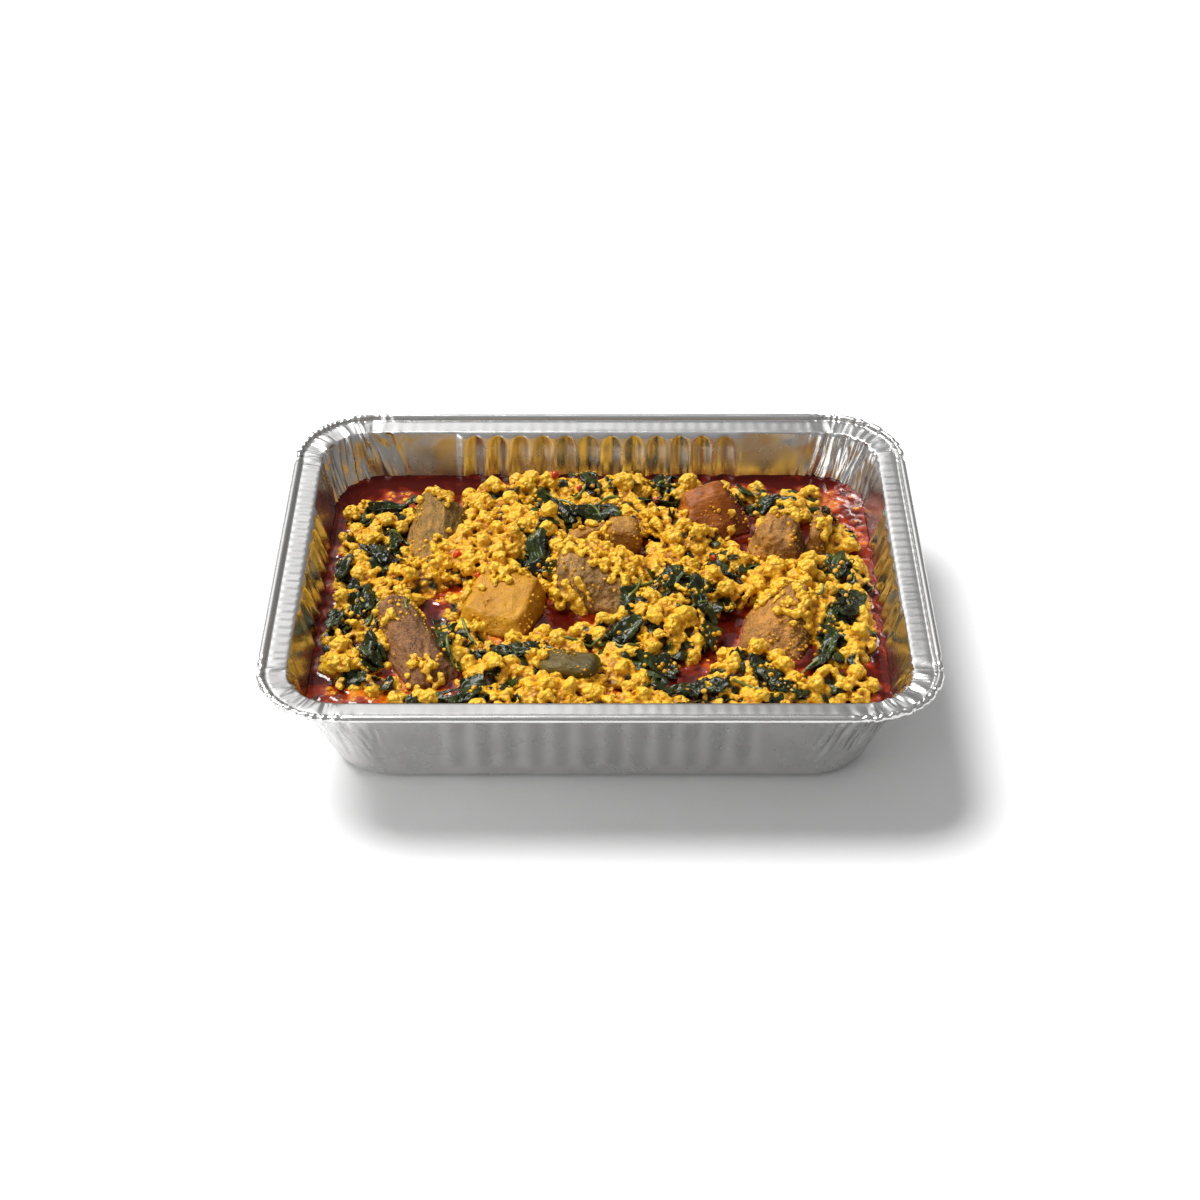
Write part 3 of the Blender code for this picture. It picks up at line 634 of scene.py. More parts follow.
class Round:
    """Stations round the tray, each kept on its rib, plain run or corner at every level."""

    CORNER_STATIONS = 78
    PLAIN_STATIONS = 30

    def __init__(self):
        fixed, share, turn, side = [], [], [], []
        for number in range(4):
            end = (GROOVES[number % 2] / 2 + RIB_MARGIN) * PITCH
            ribs = np.linspace(-end, end, round(end / RIB_STEP))
            plain = np.linspace(0, 1, self.PLAIN_STATIONS + 1)[1:]
            arc = np.linspace(0, math.pi / 2, self.CORNER_STATIONS + 1)[1:-1]
            fixed += [np.full(len(plain), -end), ribs, np.full(len(plain), end), np.full(len(arc), end)]
            share += [-plain[::-1], np.zeros(len(ribs)), plain, np.ones(len(arc))]
            turn += [np.zeros(2 * len(plain) + len(ribs)), arc]
            side.append(np.full(2 * len(plain) + len(ribs) + len(arc), number))
        self.fixed, self.share, self.turn = map(np.concatenate, (fixed, share, turn))
        self.side = np.concatenate(side)
        angle = self.turn + self.side * math.pi / 2
        self.out = np.stack([np.sin(angle), -np.cos(angle)], axis=1)
        self.count = len(self.side)
        self.corner_places()

    def ring(self, half_x, half_y, corner):
        """The stations' places on a rounded rectangle, and their distance along the side."""
        odd = self.side % 2 == 1
        half, reach = np.where(odd, half_y, half_x), np.where(odd, half_x, half_y)
        run = half - corner - np.abs(self.fixed)
        along = self.fixed + self.share * run + corner * np.sin(self.turn)
        away = reach - corner * (1 - np.cos(self.turn))
        angle = self.side * math.pi / 2
        x = along * np.cos(angle) + away * np.sin(angle)
        y = along * np.sin(angle) - away * np.cos(angle)
        return np.stack([x, y], axis=1), along

    def corner_places(self):
        """For every station: which corner is near, how far it is from its middle, and how much it puckers."""
        ring, _ = self.ring(*wall_size(FOLD_Z))
        steps = np.linalg.norm(np.roll(ring, -1, axis=0) - ring, axis=1)
        along = np.concatenate([[0], np.cumsum(steps)[:-1]])
        total = steps.sum()
        middles = []
        for number in range(4):
            bend = np.flatnonzero((self.side == number) & (self.turn > 0))
            middles.append(along[bend.mean().astype(int)])
        gaps = (along[:, None] - np.array(middles)[None] + total / 2) % total - total / 2
        self.corner = np.abs(gaps).argmin(axis=1)
        self.from_corner = gaps[np.arange(self.count), self.corner]
        half_arc = FOLD_CORNER * math.pi / 4
        self.pucker = smooth(1 - (np.abs(self.from_corner) - half_arc) / PLEAT_REACH)
        self.crimp = smooth(1 - (np.abs(self.from_corner) - half_arc - CRIMP_REACH) / CRIMP_FADE)

    def corner_line(self, slide, rise):
        """The stations' places in the noise of the corners: along each, up it and apart from the rest."""
        return np.column_stack([self.from_corner + slide, np.full(self.count, rise),
                                self.corner * CORNER_APART])


def wall_size(z, inset=0.0):
    """Half length, half width and corner radius of the wall at a level."""
    corner = BASE_CORNER + (FOLD_CORNER - BASE_CORNER) * z / FOLD_Z
    return BASE[0] + DRAFT * z - inset, BASE[1] + DRAFT * z - inset, corner - inset


def rib_push(tray, along, z, grooves, on_side):
    """How far the pressed ribs stand out of the plain wall, for stations along a side at one level."""
    depth = tray.rib_depth
    steepness = depth / (PITCH / 2 - 1.0 - RIB_FLAT)
    across = ((along / PITCH + grooves / 2) % 1.0 - 0.5) * PITCH
    reach = np.sqrt(np.clip((tray.rib_top - z) / 6.0, 0, 1) * np.clip((z - tray.rib_foot) / 5.0, 0, 1))
    groove = np.clip(depth * reach - steepness * np.clip(np.abs(across) - RIB_FLAT, 0, None), 0, depth)
    end = grooves / 2 * PITCH
    zone = 1 - smooth((np.abs(along) - end - 0.8) / 3.2)
    band = smooth((z - tray.rib_foot) / 5.0) * smooth((FOLD_Z - z) / 1.4)
    groove = groove * (np.abs(along) < end)
    return on_side * zone * (groove - band * depth / 2)


def wall_push(tray, around, ring, along, z):
    """The wall's whole relief at one level: ribs, soft dents and pleats."""
    grooves = np.where(around.side % 2 == 1, GROOVES[1], GROOVES[0])
    push = rib_push(tray, along, z, grooves, around.turn == 0)
    where = np.column_stack([ring, np.full(around.count, z)])
    dents = 0.35 * waves(where, 17.0, 3) + 0.15 * waves(where, 6.0, 4)
    free = smooth((z - 4) / 14.0) * smooth((FOLD_Z - z) / 6.0)
    plain = np.where((around.share == 0) & (around.turn == 0), 0.25, 1.0)
    slide = 2.6 * waves(where * (1, 1, 0.7), 14.0, 5)
    line = around.corner_line(slide, z * 0.11)
    pleats = folds(line, PLEAT_SIZE, 6) * 0.9 + folds(line * (1, 1.6, 1), CREASE_SIZE, 7) * 0.6 - 0.7
    deep = smooth((z - 7) / 30.0) * tray.pleat_depth
    return push + free * plain * dents + around.pucker * deep * pleats


def floor_rows(tray, around):
    """The rings of the tray's floor and of the round foot of its wall.

    Each ring of the tray comes with its level and how far it is pressed out there.
    """
    lean = math.atan(DRAFT)
    reach = FILLET * math.tan((math.pi / 2 - lean) / 2)
    floor, _ = around.ring(*wall_size(tray.sheet, reach))
    for share in (0.3, 0.66):
        yield floor * share, tray.sheet, 0.0
    for step in range(5):
        angle = -math.pi / 2 + step / 4 * (math.pi / 2 - lean)
        z = tray.sheet + FILLET * (1 + math.sin(angle))
        inset = reach - FILLET * math.cos(angle) + DRAFT * (z - tray.sheet)
        yield around.ring(*wall_size(z, inset))[0], z, 0.0


def wall_rows(tray, around):
    """The rings of the ribbed wall."""
    for z in WALL_LEVELS:
        ring, along = around.ring(*wall_size(z))
        push = wall_push(tray, around, ring, along, z)
        yield ring + around.out * push[:, None], z, push


def rim_rows(tray, around):
    """The rings of the flat rim, rippled and creased, and of its rolled bead, crimped at the corners."""
    fold = np.array(wall_size(FOLD_Z))
    rim = np.array((*RIM, RIM_CORNER))
    for share, z in FLAT_RIM:
        ring, along = around.ring(*(fold + (rim - fold) * share))
        line = around.corner_line(0.0, share * 3.0)
        strength = smooth(share / 0.12) * smooth((0.75 - share) / 0.2)
        creases = 0.7 * folds(line, 4.4, 8) + 0.4 * folds(line, 1.9, 11) - 0.6
        ripple = np.where(around.side % 2 == 1, END_RIPPLE, LONG_RIPPLE)
        level = z + strength * CREASE_DEPTH * around.pucker * creases
        level = level + strength * ripple * (1 - around.pucker) * np.cos(along * math.tau / RIPPLE_PITCH)
        yield ring, level, 0.0
    width = rim[0] - fold[0]
    for angle in np.radians(BEAD_TURNS):
        share = 1 - BEAD * (1 - math.cos(angle)) / width
        ring, _ = around.ring(*(fold + (rim - fold) * share))
        line = around.corner_line(0.0, share * 3.0)
        slant = line * (1, 1.5, 1) + (1, 0, 0) * line[:, 1:2]
        nick = np.clip(1.5 * folds(slant, 1.8, 9) + 0.8 * folds(slant, 1.2, 10) - 0.9, 0, 1)
        pinch = around.crimp * tray.crimp_depth * nick
        level = RIM_TOP - BEAD + BEAD * math.sin(angle) - pinch * max(math.sin(angle), 0.0)
        yield ring - around.out * (pinch * math.cos(angle))[:, None], level, 0.0


def make_tray(tray, around):
    """The tray's sheet of foil, closed to its real thickness."""
    count = around.count
    rows, pressed = [], []
    rings = (*floor_rows(tray, around), *wall_rows(tray, around), *rim_rows(tray, around))
    for ring, level, push in rings:
        rows.append(np.column_stack([ring, np.broadcast_to(level, count)]))
        pressed.append(np.broadcast_to(push, count))
    points = np.concatenate(rows)
    here = np.arange(count)
    there = np.roll(here, -1)
    faces = [np.column_stack([here, here + count, there + count, there]) + row * count
             for row in range(len(rows) - 1)]
    mesh = mesh_of("foil_tray", points, [tuple(range(count))] + np.concatenate(faces).tolist())
    # How far each ring is pressed out, which the foil's finish turns into painted shade on the ribs.
    set_value(mesh, "pressed", np.concatenate(pressed))
    return modified(mesh, "SOLIDIFY", thickness=tray.sheet * MM, offset=-1.0)


# The stew

# How far from the walls and from the food the oil's climb fades.
WALL_CLIMB = 0.9
FOOD_CLIMB = 1.2
# The surface's points stand close up to this far from the food, and wider apart beyond it.
NEAR_FOOD = 3.4
WIDER = 2.4
# Rows of a grid of triangles are this share of a step apart.
ROW_SHARE = 0.866
# Levels of the stew's body.
BODY_LEVELS = (34.0, 26.0, 17.0, 9.0, 3.0, 0.9)


def oil_outline(tray, around, z, inset=0.0):
    """The line where the wall meets a level of the stew."""
    ring, along = around.ring(*wall_size(z))
    return ring + around.out * (wall_push(tray, around, ring, along, z) - inset)[:, None]


# Curd just under the oil: middle x and y, half length, half width and how near it comes to the surface.
SUNKEN = (
    (112, 84, 26, 12, 0.66), (131, 48, 8, 30, 0.42), (124, -2, 7, 14, 0.45), (-98, -80, 30, 11, 0.95),
    (-132, -82, 10, 10, 0.5), (-68, -4, 8, 10, 0.8), (-58, -36, 12, 8, 0.9), (-84, 2, 8, 8, 0.6),
    (8, -30, 16, 7, 0.9), (28, -86, 22, 9, 0.85), (104, -88, 28, 8, 0.8), (58, -56, 10, 8, 0.75),
    (-104, 84, 16, 8, 0.55), (40, 100, 22, 5, 0.7), (-30, 101, 26, 5, 0.6), (72, 96, 14, 6, 0.7),
    (-30, -98, 20, 7, 0.8), (-75, -95, 24, 7, 0.8), (70, -100, 20, 6, 0.8), (66, 40, 8, 8, 0.4),
)


def on_ground(places):
    """Places x and y as points at level nought."""
    return np.column_stack([places, np.zeros(len(places))])


def surface_spots(step, shore):
    """Even places over the stew's surface, close together near the food."""
    half = wall_size(STEW_LEVEL)
    grids = []
    for size, near, far in ((step, -1.0, NEAR_FOOD), (WIDER * step, NEAR_FOOD, math.inf)):
        xs, ys = np.meshgrid(np.arange(-145, 145, size), np.arange(-115, 115, size * ROW_SHARE))
        xs = xs + (np.arange(len(xs)) % 2 * size / 2)[:, None]
        spots = np.column_stack([xs.ravel(), ys.ravel()])
        to_edge = np.linalg.norm(np.clip(np.abs(spots) - np.array(half[:2]) + half[2], 0, None), axis=1)
        spots = spots[to_edge < half[2] - 2.0 - size / 3]
        gap = gaps_to(shore, on_ground(spots))
        grids.append(spots[(gap > near) & (gap <= far)])
    return np.concatenate(grids)


def shallows(surface, wall, bank):
    """How near to the surface curd or wall comes at each of its points."""
    shallow = 0.62 * np.exp(-bank / 2.2)
    for x, y, long, wide, strength in SUNKEN:
        far = np.hypot((surface[:, 0] - x) / long, (surface[:, 1] - y) / wide)
        shallow = np.maximum(shallow, strength * smooth(1.5 - far))
    lumps = 0.5 + 0.5 * waves(surface, 5.2, 21) + 0.3 * waves(surface, 2.4, 22)
    shallow = shallow * (0.35 + 0.9 * smooth(lumps)) + 0.16 * smooth(1 - wall / 3.0)
    return shallow + 0.05 * waves(surface, 14.0, 23)


def make_oil(tray, oil, around, banks):
    """The stew's body, with its surface drawn up where it meets walls, curds and meat."""
    edge = oil_outline(tray, around, STEW_LEVEL)
    shore = tree_of(banks * (1, 1, 0))
    near_edge = oil_outline(tray, around, STEW_LEVEL, 0.45)
    inner = oil_outline(tray, around, STEW_LEVEL, 1.0)[::2]
    flat = np.concatenate([edge, near_edge, inner, surface_spots(oil.step, shore)])
    count = around.count
    lines = [(i, (i + 1) % count) for i in range(count)]
    made = geometry.delaunay_2d_cdt([Vector(p) for p in flat], lines, [], 1, 1e-6)
    points = np.array([tuple(p) for p in made[0]])
    faces = np.array(made[2])
    order = np.array([rows[0] if rows else -1 for rows in made[3]])
    wall = gaps_to(tree_of(on_ground(edge)), on_ground(points))
    bank = gaps_to(shore, on_ground(points))
    lift = oil.meniscus * (np.exp(-wall / WALL_CLIMB) + np.exp(-bank / FOOD_CLIMB))
    surface = np.column_stack([points, STEW_LEVEL + np.minimum(lift, oil.meniscus)])
    rim = np.array([int(np.flatnonzero(order == i)[0]) for i in range(count)])
    body, sides, top = [surface], [faces], rim
    for z in BODY_LEVELS:
        low = around.ring(*wall_size(z, 1.6 if z > 4 else 6.0))[0]
        body.append(np.column_stack([low, np.full(count, z)]))
        here = np.arange(count) + sum(len(rows) for rows in body[:-1])
        after, above = np.roll(here, -1), np.roll(top, -1)
        sides += [np.column_stack([top, here, after]), np.column_stack([top, after, above])]
        top = here
    mesh = mesh_of("palm_oil", np.concatenate(body), np.concatenate(sides).tolist() + [tuple(top[::-1])])
    under = np.zeros(len(mesh.vertices) - len(points))
    set_value(mesh, "shallow", np.concatenate([shallows(surface, wall, bank), under]))
    set_value(mesh, "climb", np.concatenate([np.exp(-bank / FOOD_CLIMB), under]))
    return mesh


# Seed curd

# The heaps' skin has no more triangles than this.
MOST_TRIANGLES = 195000
# Size of the faces of the core, and how far from it a curd is out of the painted shade of the gaps.
CORE_VOXEL = 1.6
CURD_DEPTH = 2.6
# How far up the oil soaks into the curd.
CURD_SOAK = 2.6


def crest_of(mesh, points):
    """How far each point stands out from the lie of the land round it, from 0 to 1."""
    out = ((points - relaxed(mesh, points, 9, 0.8)) * normals_of(mesh)).sum(axis=1)
    return np.clip(0.5 + out / 1.3, 0, 1)


def kept_in(points, inset):
    """Points drawn in so that they lie within the tray's walls."""
    half_x, half_y, corner = wall_size(points[:, 2], inset)
    flat = points[:, :2]
    beyond = np.clip(np.abs(flat) - np.column_stack([half_x - corner, half_y - corner]), 0, None)
    reach = np.maximum(np.linalg.norm(beyond, axis=1), 1e-6)
    excess = np.clip(reach - corner, 0, None) / reach
    return np.column_stack([flat - np.sign(flat) * beyond * excess[:, None], points[:, 2]])


def packed(places, radii, overlap):
    """The places kept, largest first, so that no two balls overlap by more than a share."""
    order = np.argsort(-radii)
    kept = []
    for index in order:
        near = np.linalg.norm(places[kept] - places[index], axis=1) if kept else np.empty(0)
        if (near > overlap * (radii[kept] + radii[index])).all():
            kept.append(index)
    return np.array(kept)


def clusters(places, normals, radii, draw):
    """Knobbly clusters: squat balls with small bumps all over them."""
    number = np.round(5 + 2.3 * radii ** 2).astype(int)
    owner = np.repeat(np.arange(len(radii)), number)
    way = draw.normal(size=(len(owner), 3))
    way /= np.linalg.norm(way, axis=1)[:, None]
    inward = np.minimum((way * normals[owner]).sum(axis=1) + 0.1, 0)
    way -= 2 * inward[:, None] * normals[owner]
    centres = places[owner] + way * (radii[owner] * draw.uniform(0.62, 0.90, len(owner)))[:, None]
    size = draw.uniform(0.75, 1.3, len(owner)) * (0.72 + 0.09 * radii[owner])
    return joined([balls(places, radii * 0.84, 2, draw), balls(centres, size, 2, draw)])


# Curds that stick to the meat: the piece, the middle of the patch, its reach and how many there are.
COATS = (
    ("meat_centre", 16, 8, 52, 26, 150), ("meat_centre", -6, 20, 54, 19, 80),
    ("meat_centre", 24, -6, 44, 18, 60), ("meat_centre", -18, -12, 41, 13, 40),
    ("meat_front_right", 102, -28, 48, 24, 80), ("meat_front_right", 84, -6, 52, 16, 40),
    ("meat_back_left", -72, 26, 46, 15, 60), ("meat_back_left", -84, 66, 50, 13, 24),
    ("meat_back_left", -88, 10, 44, 12, 30), ("meat_front_left", -76, -20, 50, 12, 16),
    ("meat_front_left", -84, -76, 44, 13, 20), ("meat_front_left", -104, -34, 46, 11, 12),
    ("meat_golden", -50, 2, 50, 18, 34), ("meat_golden", -68, -6, 48, 9, 10),
    ("meat_amber", 44, 54, 46, 9, 8), ("meat_fibrous", 96, 46, 54, 12, 12),
    ("meat_fibrous_slab", 116, 40, 50, 10, 8), ("meat_olive", -28, -66, 48, 9, 6),
    ("meat_knuckle", -2, 40, 46, 20, 14), ("meat_amber", 66, 52, 44, 10, 4),
)


def coat_curds(meats, draw):
    """Curds that stick to the meat, thick in some places and sprinkled elsewhere."""
    places, sides, radii = [], [], []
    for name, x, y, z, reach, count in COATS:
        spots, normals = strewn(meats[name].data, count * 14, 1.7, draw, -0.35, STEW_LEVEL + 0.5)
        far = np.linalg.norm(spots - (x, y, z), axis=1) / reach
        order = np.argsort(far + draw.uniform(0, 0.45, len(far)))[:count]
        size = (0.9 + 2.3 * draw.random(len(order)) ** 1.5) * np.clip(1.25 - 0.5 * far[order], 0.5, 1.2)
        places.append(spots[order] + normals[order] * (size * 0.3)[:, None])
        sides.append(normals[order])
        radii.append(size)
    places, sides, radii = map(np.concatenate, (places, sides, radii))
    kept = packed(places, radii, 0.7)
    return places[kept], sides[kept], radii[kept]


def heap_curds(heap, leaves, draw):
    """Places, normals and sizes of the curds on the heaps, few of them on the leaves."""
    places, normals = strewn(heap, 14000, 2.2, draw, -0.1)
    swell = np.clip(1 + 0.3 * waves(places, 17.0, 31), 0.7, 1.3)
    size = (1.2 + 3.9 * draw.random(len(places)) ** 2.4) * swell
    to_leaf = gaps_to(tree_of(points_of(leaves.data)[::2]), places)
    thick = np.where(waves(places, 10.0, 32) > -0.42, 0.98, 0.45)
    kept = draw.random(len(places)) < np.where(to_leaf < size + 0.6, 0.16, thick)
    places, normals, size = places[kept], normals[kept], size[kept]
    kept = packed(places, size, 0.66)
    places, normals, size = places[kept], normals[kept], size[kept]
    return places - normals * (size * 0.55)[:, None], normals, size


def sunken_core(heap, sink):
    """The heaps' rounded form, drawn in, as points and triangles: what shows between the curds."""
    core = even_skin(heap, CORE_VOXEL)
    deep = relaxed(core, points_of(core), 12, 0.7) - normals_of(core) * sink
    set_points(core, deep)
    return deep, triangles_of(core)


def make_curds(curd, meats, leaves, draw):
    """The heaps' skin: clusters of curd over a sunken core, with gaps between them."""
    heaps = [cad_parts[name].data for name in HEAPS]
    heap = mesh_of("heap", *joined([(points_of(mesh), triangles_of(mesh)) for mesh in heaps]))
    on_heap = clusters(*heap_curds(heap, leaves, draw), draw)
    on_meat = clusters(*coat_curds(meats, draw), draw)
    deep, faces = sunken_core(heap, curd.sink)
    floor = BVHTree.FromPolygons(deep.tolist(), faces.tolist())
    skin = even_skin(mesh_of("clusters", *joined([(deep, faces), on_heap, on_meat])), curd.voxel)
    skin = lighter(over_stew(skin), MOST_TRIANGLES)
    points = points_of(skin)
    crest = crest_of(skin, points)
    points = points + normals_of(skin) * (0.12 * waves(points, 2.2, 35))[:, None]
    points = kept_in(points, 2.0)
    points[:, 2] = np.clip(points[:, 2], STEW_LEVEL - 1.5, RIM_TOP - 1.0)
    set_points(skin, points)
    skin.shade_smooth()
    near = np.array([floor.find_nearest(point)[3] for point in points.tolist()])
    curd_values(skin, points, crest, near / CURD_DEPTH)
    return skin


def curd_values(mesh, points, crest, depth):
    """Stores what the curd's finish reads."""
    set_value(mesh, "crest", crest)
    set_value(mesh, "depth", np.clip(depth, 0, 1))
    set_value(mesh, "soaked", np.clip((STEW_LEVEL + CURD_SOAK - points[:, 2]) / CURD_SOAK, 0, 1))


def floating(draw):
    """Small curds that float in the shallow oil, most of each under it."""
    places = []
    for x, y, long, wide, strength in SUNKEN:
        count = int(0.30 * long * wide * strength)
        angle, far = draw.uniform(0, math.tau, count), 1.15 * np.sqrt(draw.random(count))
        places.append(np.column_stack([x + long * far * np.cos(angle), y + wide * far * np.sin(angle),
                                       np.zeros(count)]))
    places = np.concatenate(places)
    places = places[thinned(places, 1.9)]
    size = 0.6 + 1.5 * draw.random(len(places)) ** 1.8
    points, faces = balls(places, size, 2, draw)
    points[:, 2] = STEW_LEVEL + 0.25 + points[:, 2] * 0.62
    return points, faces


def make_crumbs(skin, meats, leaves, draw):
    """Small loose curds on the heaps, the meat and the leaves."""
    groups = []
    # What they lie on, how many at most, how far apart, and the least and the greatest size.
    grounds = [(piece.data, 360, 1.9, 0.3, 1.15) for piece in meats.values()]
    grounds += [(skin, 1500, 3.0, 0.5, 1.2), (leaves.data, 1500, 2.4, 0.45, 1.6)]
    for mesh, count, apart, low, high in grounds:
        spots, normals = strewn(mesh, count, apart, draw, 0.0, STEW_LEVEL + 0.3)
        kept = waves(spots, 7.0, 37) + draw.uniform(-0.25, 0.25, len(spots)) > 0.22
        spots, normals = spots[kept], normals[kept]
        size = low + (high - low) * draw.random(len(spots)) ** 1.6
        groups.append(balls(spots + normals * (size * 0.2)[:, None], size, 2, draw))
    groups.append(floating(draw))
    points, faces = joined(groups)
    mesh = mesh_of("loose_curds", kept_in(points, 1.6), faces)
    # Loose curds take some of the painted highlight of curd tops and none of the painted shade of the gaps.
    curd_values(mesh, points, np.full(len(points), 0.7), np.ones(len(points)))
    return mesh


# Meat

# How far up the oil soaks into the meat.
MEAT_SOAK = 5
# Each piece: light and dark colour (the dark one also the painted shade of the sides that face right), gloss,
# the turn of its fibres in degrees and how far they are drawn out, the relief and its size, and how far the
# form is rounded.
MEAT_LOOKS = {
    "meat_back_left": ((0.42, 0.215, 0.040), (0.11, 0.065, 0.012), 0.45, 92, 0.25, 0.9, 3.0, 1),
    "meat_front_left": ((0.34, 0.150, 0.048), (0.12, 0.050, 0.016), 0.45, 117, 0.25, 0.8, 2.6, 1),
    "meat_golden": ((0.62, 0.30, 0.006), (0.40, 0.155, 0.004), 0.20, 70, 1.0, 0.4, 6.0, 2),
    "meat_centre": ((0.46, 0.245, 0.075), (0.17, 0.085, 0.018), 0.5, 80, 0.4, 0.8, 2.4, 1),
    "meat_amber": ((0.46, 0.13, 0.005), (0.09, 0.012, 0.002), 0.2, 20, 0.5, 0.6, 6.0, 2),
    "meat_fibrous": ((0.58, 0.255, 0.030), (0.10, 0.040, 0.012), 0.32, 80, 0.22, 1.1, 3.4, 2),
    "meat_fibrous_slab": ((0.50, 0.22, 0.035), (0.14, 0.06, 0.015), 0.32, 75, 0.25, 0.8, 3.0, 2),
    "meat_front_right": ((0.60, 0.265, 0.045), (0.19, 0.085, 0.018), 0.42, 70, 0.3, 0.8, 3.0, 1),
    "meat_olive": ((0.15, 0.095, 0.008), (0.045, 0.035, 0.007), 0.22, -10, 0.6, 0.25, 5.0, 6),
    "meat_knuckle": ((0.58, 0.27, 0.035), (0.20, 0.080, 0.014), 0.35, 15, 0.6, 0.6, 3.4, 12),
}


def make_meat(meat, name, number):
    """A piece of meat: the solid's form, rounded, with fibres and hollows."""
    light, dark, gloss, turn, drawn, relief, size, rounds = MEAT_LOOKS[name]
    mesh = even_skin(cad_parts[name].data.copy(), meat.voxel)
    points = relaxed(mesh, points_of(mesh), rounds, 0.6)
    cosine, sine = math.cos(math.radians(turn)), math.sin(math.radians(turn))
    x, y, z = points.T
    along = np.column_stack([(x * cosine + y * sine) * drawn, y * cosine - x * sine, z])
    coarse = folds(along, size, 40 + number) - 0.5
    fine = folds(along, size * 0.45, 60 + number)
    push = relief * coarse + 0.4 * relief * fine + 0.5 * waves(points, 9.0, 80 + number)
    points = points + normals_of(mesh) * push[:, None]
    low = points[:, 2] < STEW_LEVEL + 1.0
    points[low, 2] = np.minimum(points[low, 2], STEW_LEVEL + 0.2)
    set_points(mesh, points)
    mesh.shade_smooth()
    set_value(mesh, "soaked", np.clip((STEW_LEVEL + MEAT_SOAK - points[:, 2]) / MEAT_SOAK, 0, 1))
    look = meat_finish(name + "_finish", light, dark, gloss, turn, drawn)
    return add_piece(name[5:] + "_meat", mesh, look, [name], name)


# Leaves


def turned_to(points):
    """The points in a leaf's own directions: along it, across it and up."""
    flat = points[:, :2] - points[:, :2].mean(axis=0)
    _, rows = np.linalg.eigh(flat.T @ flat)
    along, across = rows[:, 1], rows[:, 0]
    return np.column_stack([flat @ along, flat @ across, points[:, 2]]), along, across


def crumpled(points, fold, number):
    """Leaf points pushed into long folds, both faces alike."""
    own, along, across = turned_to(points)
    own = own + (number * 70.0, 0, 0)
    sway = 2.2 * waves(own * (1, 0, 0), 8.0, 90)
    ridge = folds(np.column_stack([own[:, 0] * 0.30, own[:, 1] + sway, own[:, 2] * 0.3]), 3.4, 97) - 0.55
    fine = folds(np.column_stack([own[:, 0] * 0.8, own[:, 1] + sway, own[:, 2] * 0.3]), 1.7, 98) - 0.5
    bend = waves(own * (1, 0.5, 0), 9.0, 99)
    moved = points.copy()
    moved[:, 2] += fold * (1.25 * ridge + 0.45 * fine + 0.7 * bend)
    moved[:, :2] += across * (fold * 0.9 * waves(own * (1, 0.6, 0.3), 5.0, 91))[:, None]
    moved[:, :2] += along * (fold * 0.8 * waves(own * (1, 1, 0.3), 5.5, 93))[:, None]
    return moved


def make_leaves(leaf):
    """Every large leaf, crumpled."""
    parts = []
    for number, name in enumerate(LEAVES):
        mesh = even_skin(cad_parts[name].data.copy(), leaf.voxel)
        points = relaxed(mesh, points_of(mesh), 2, 0.5)
        parts.append((crumpled(points, leaf.crumple, number), triangles_of(mesh)))
    return mesh_of("cooked_leaves", *joined(parts))


def scrap_shape(long, wide, draw):
    """A scrap of leaf lying along X: a pointed sheet, creased, curled and closed at its edges."""
    rows, columns = 10, 6
    u, v = np.meshgrid(np.linspace(-1, 1, rows), np.linspace(-1, 1, columns), indexing="ij")
    taper = np.sqrt(np.clip(1.04 - np.abs(u) ** 2.4, 0.02, 1))
    width = wide / 2 * taper * (1 + 0.25 * draw.normal(size=(rows, 1)))
    own = np.column_stack([(u * long / 2).ravel(), (v * width).ravel(), np.zeros(u.size)])
    shift = draw.uniform(-500, 500, 3)
    own[:, 2] = 1.5 * waves(own * (0.5, 1, 1) + shift, 3.0, 71) + 0.6 * folds(own + shift, 1.6, 72)
    curl = draw.uniform(-0.10, 0.16)
    own[:, 2] -= curl * own[:, 1] ** 2 + draw.uniform(-0.02, 0.04) * own[:, 0] ** 2
    lower = own - (0, 0, 0.35)
    here = np.arange(rows * columns).reshape(rows, columns)
    a, b, c, d = here[:-1, :-1].ravel(), here[1:, :-1].ravel(), here[1:, 1:].ravel(), here[:-1, 1:].ravel()
    top = np.concatenate([np.column_stack([a, b, c]), np.column_stack([a, c, d])])
    under = top[:, ::-1] + rows * columns
    rim = np.concatenate([here[:, 0], here[-1, 1:], here[-2::-1, -1], here[0, -2:0:-1]])
    after, below = np.roll(rim, -1), rim + rows * columns
    edge = np.concatenate([np.column_stack([rim, below, np.roll(below, -1)]),
                           np.column_stack([rim, np.roll(below, -1), after])])
    return np.concatenate([own, lower]), np.concatenate([top, under, edge])


def make_scraps(leaf, skin, leaves, draw):
    """Scraps of leaf that lie in the gaps between the curds, most of them near the large leaves."""
    depth = np.empty(len(skin.vertices))
    skin.attributes["depth"].data.foreach_get("value", depth)
    points, normals = points_of(skin), normals_of(skin)
    low = np.flatnonzero((depth < 0.42) & (normals[:, 2] > 0.2) & (points[:, 2] > STEW_LEVEL + 0.5))
    low = draw.permutation(low)[:7000]
    near = gaps_to(tree_of(points_of(leaves.data)[::3]), points[low])
    rank = near + draw.uniform(0, 26, len(low))
    low = low[np.argsort(rank)][:3200]
    low = low[thinned(points[low], leaf.scrap_gap)]
    parts = []
    for place, normal in zip(points[low], normals[low]):
        shape, faces = scrap_shape(draw.uniform(5, 13), draw.uniform(3.5, 7.5), draw)
        up = Vector(normal * (0.5, 0.5, 1.0) + draw.normal(0, 0.22, 3)).normalized()
        side = Vector((*draw.normal(size=2), 0.0)).normalized()
        across = up.cross(side).normalized()
        turn = np.array([across.cross(up), across, up])
        parts.append((shape @ turn + place + np.array(up) * draw.uniform(0.2, 1.5), faces))
    points, faces = joined(parts)
    points[:, 2] = np.minimum(points[:, 2], RIM_TOP - 1.5)
    return mesh_of("leaf_scraps", kept_in(points, 1.8), faces)


# Stems and pepper

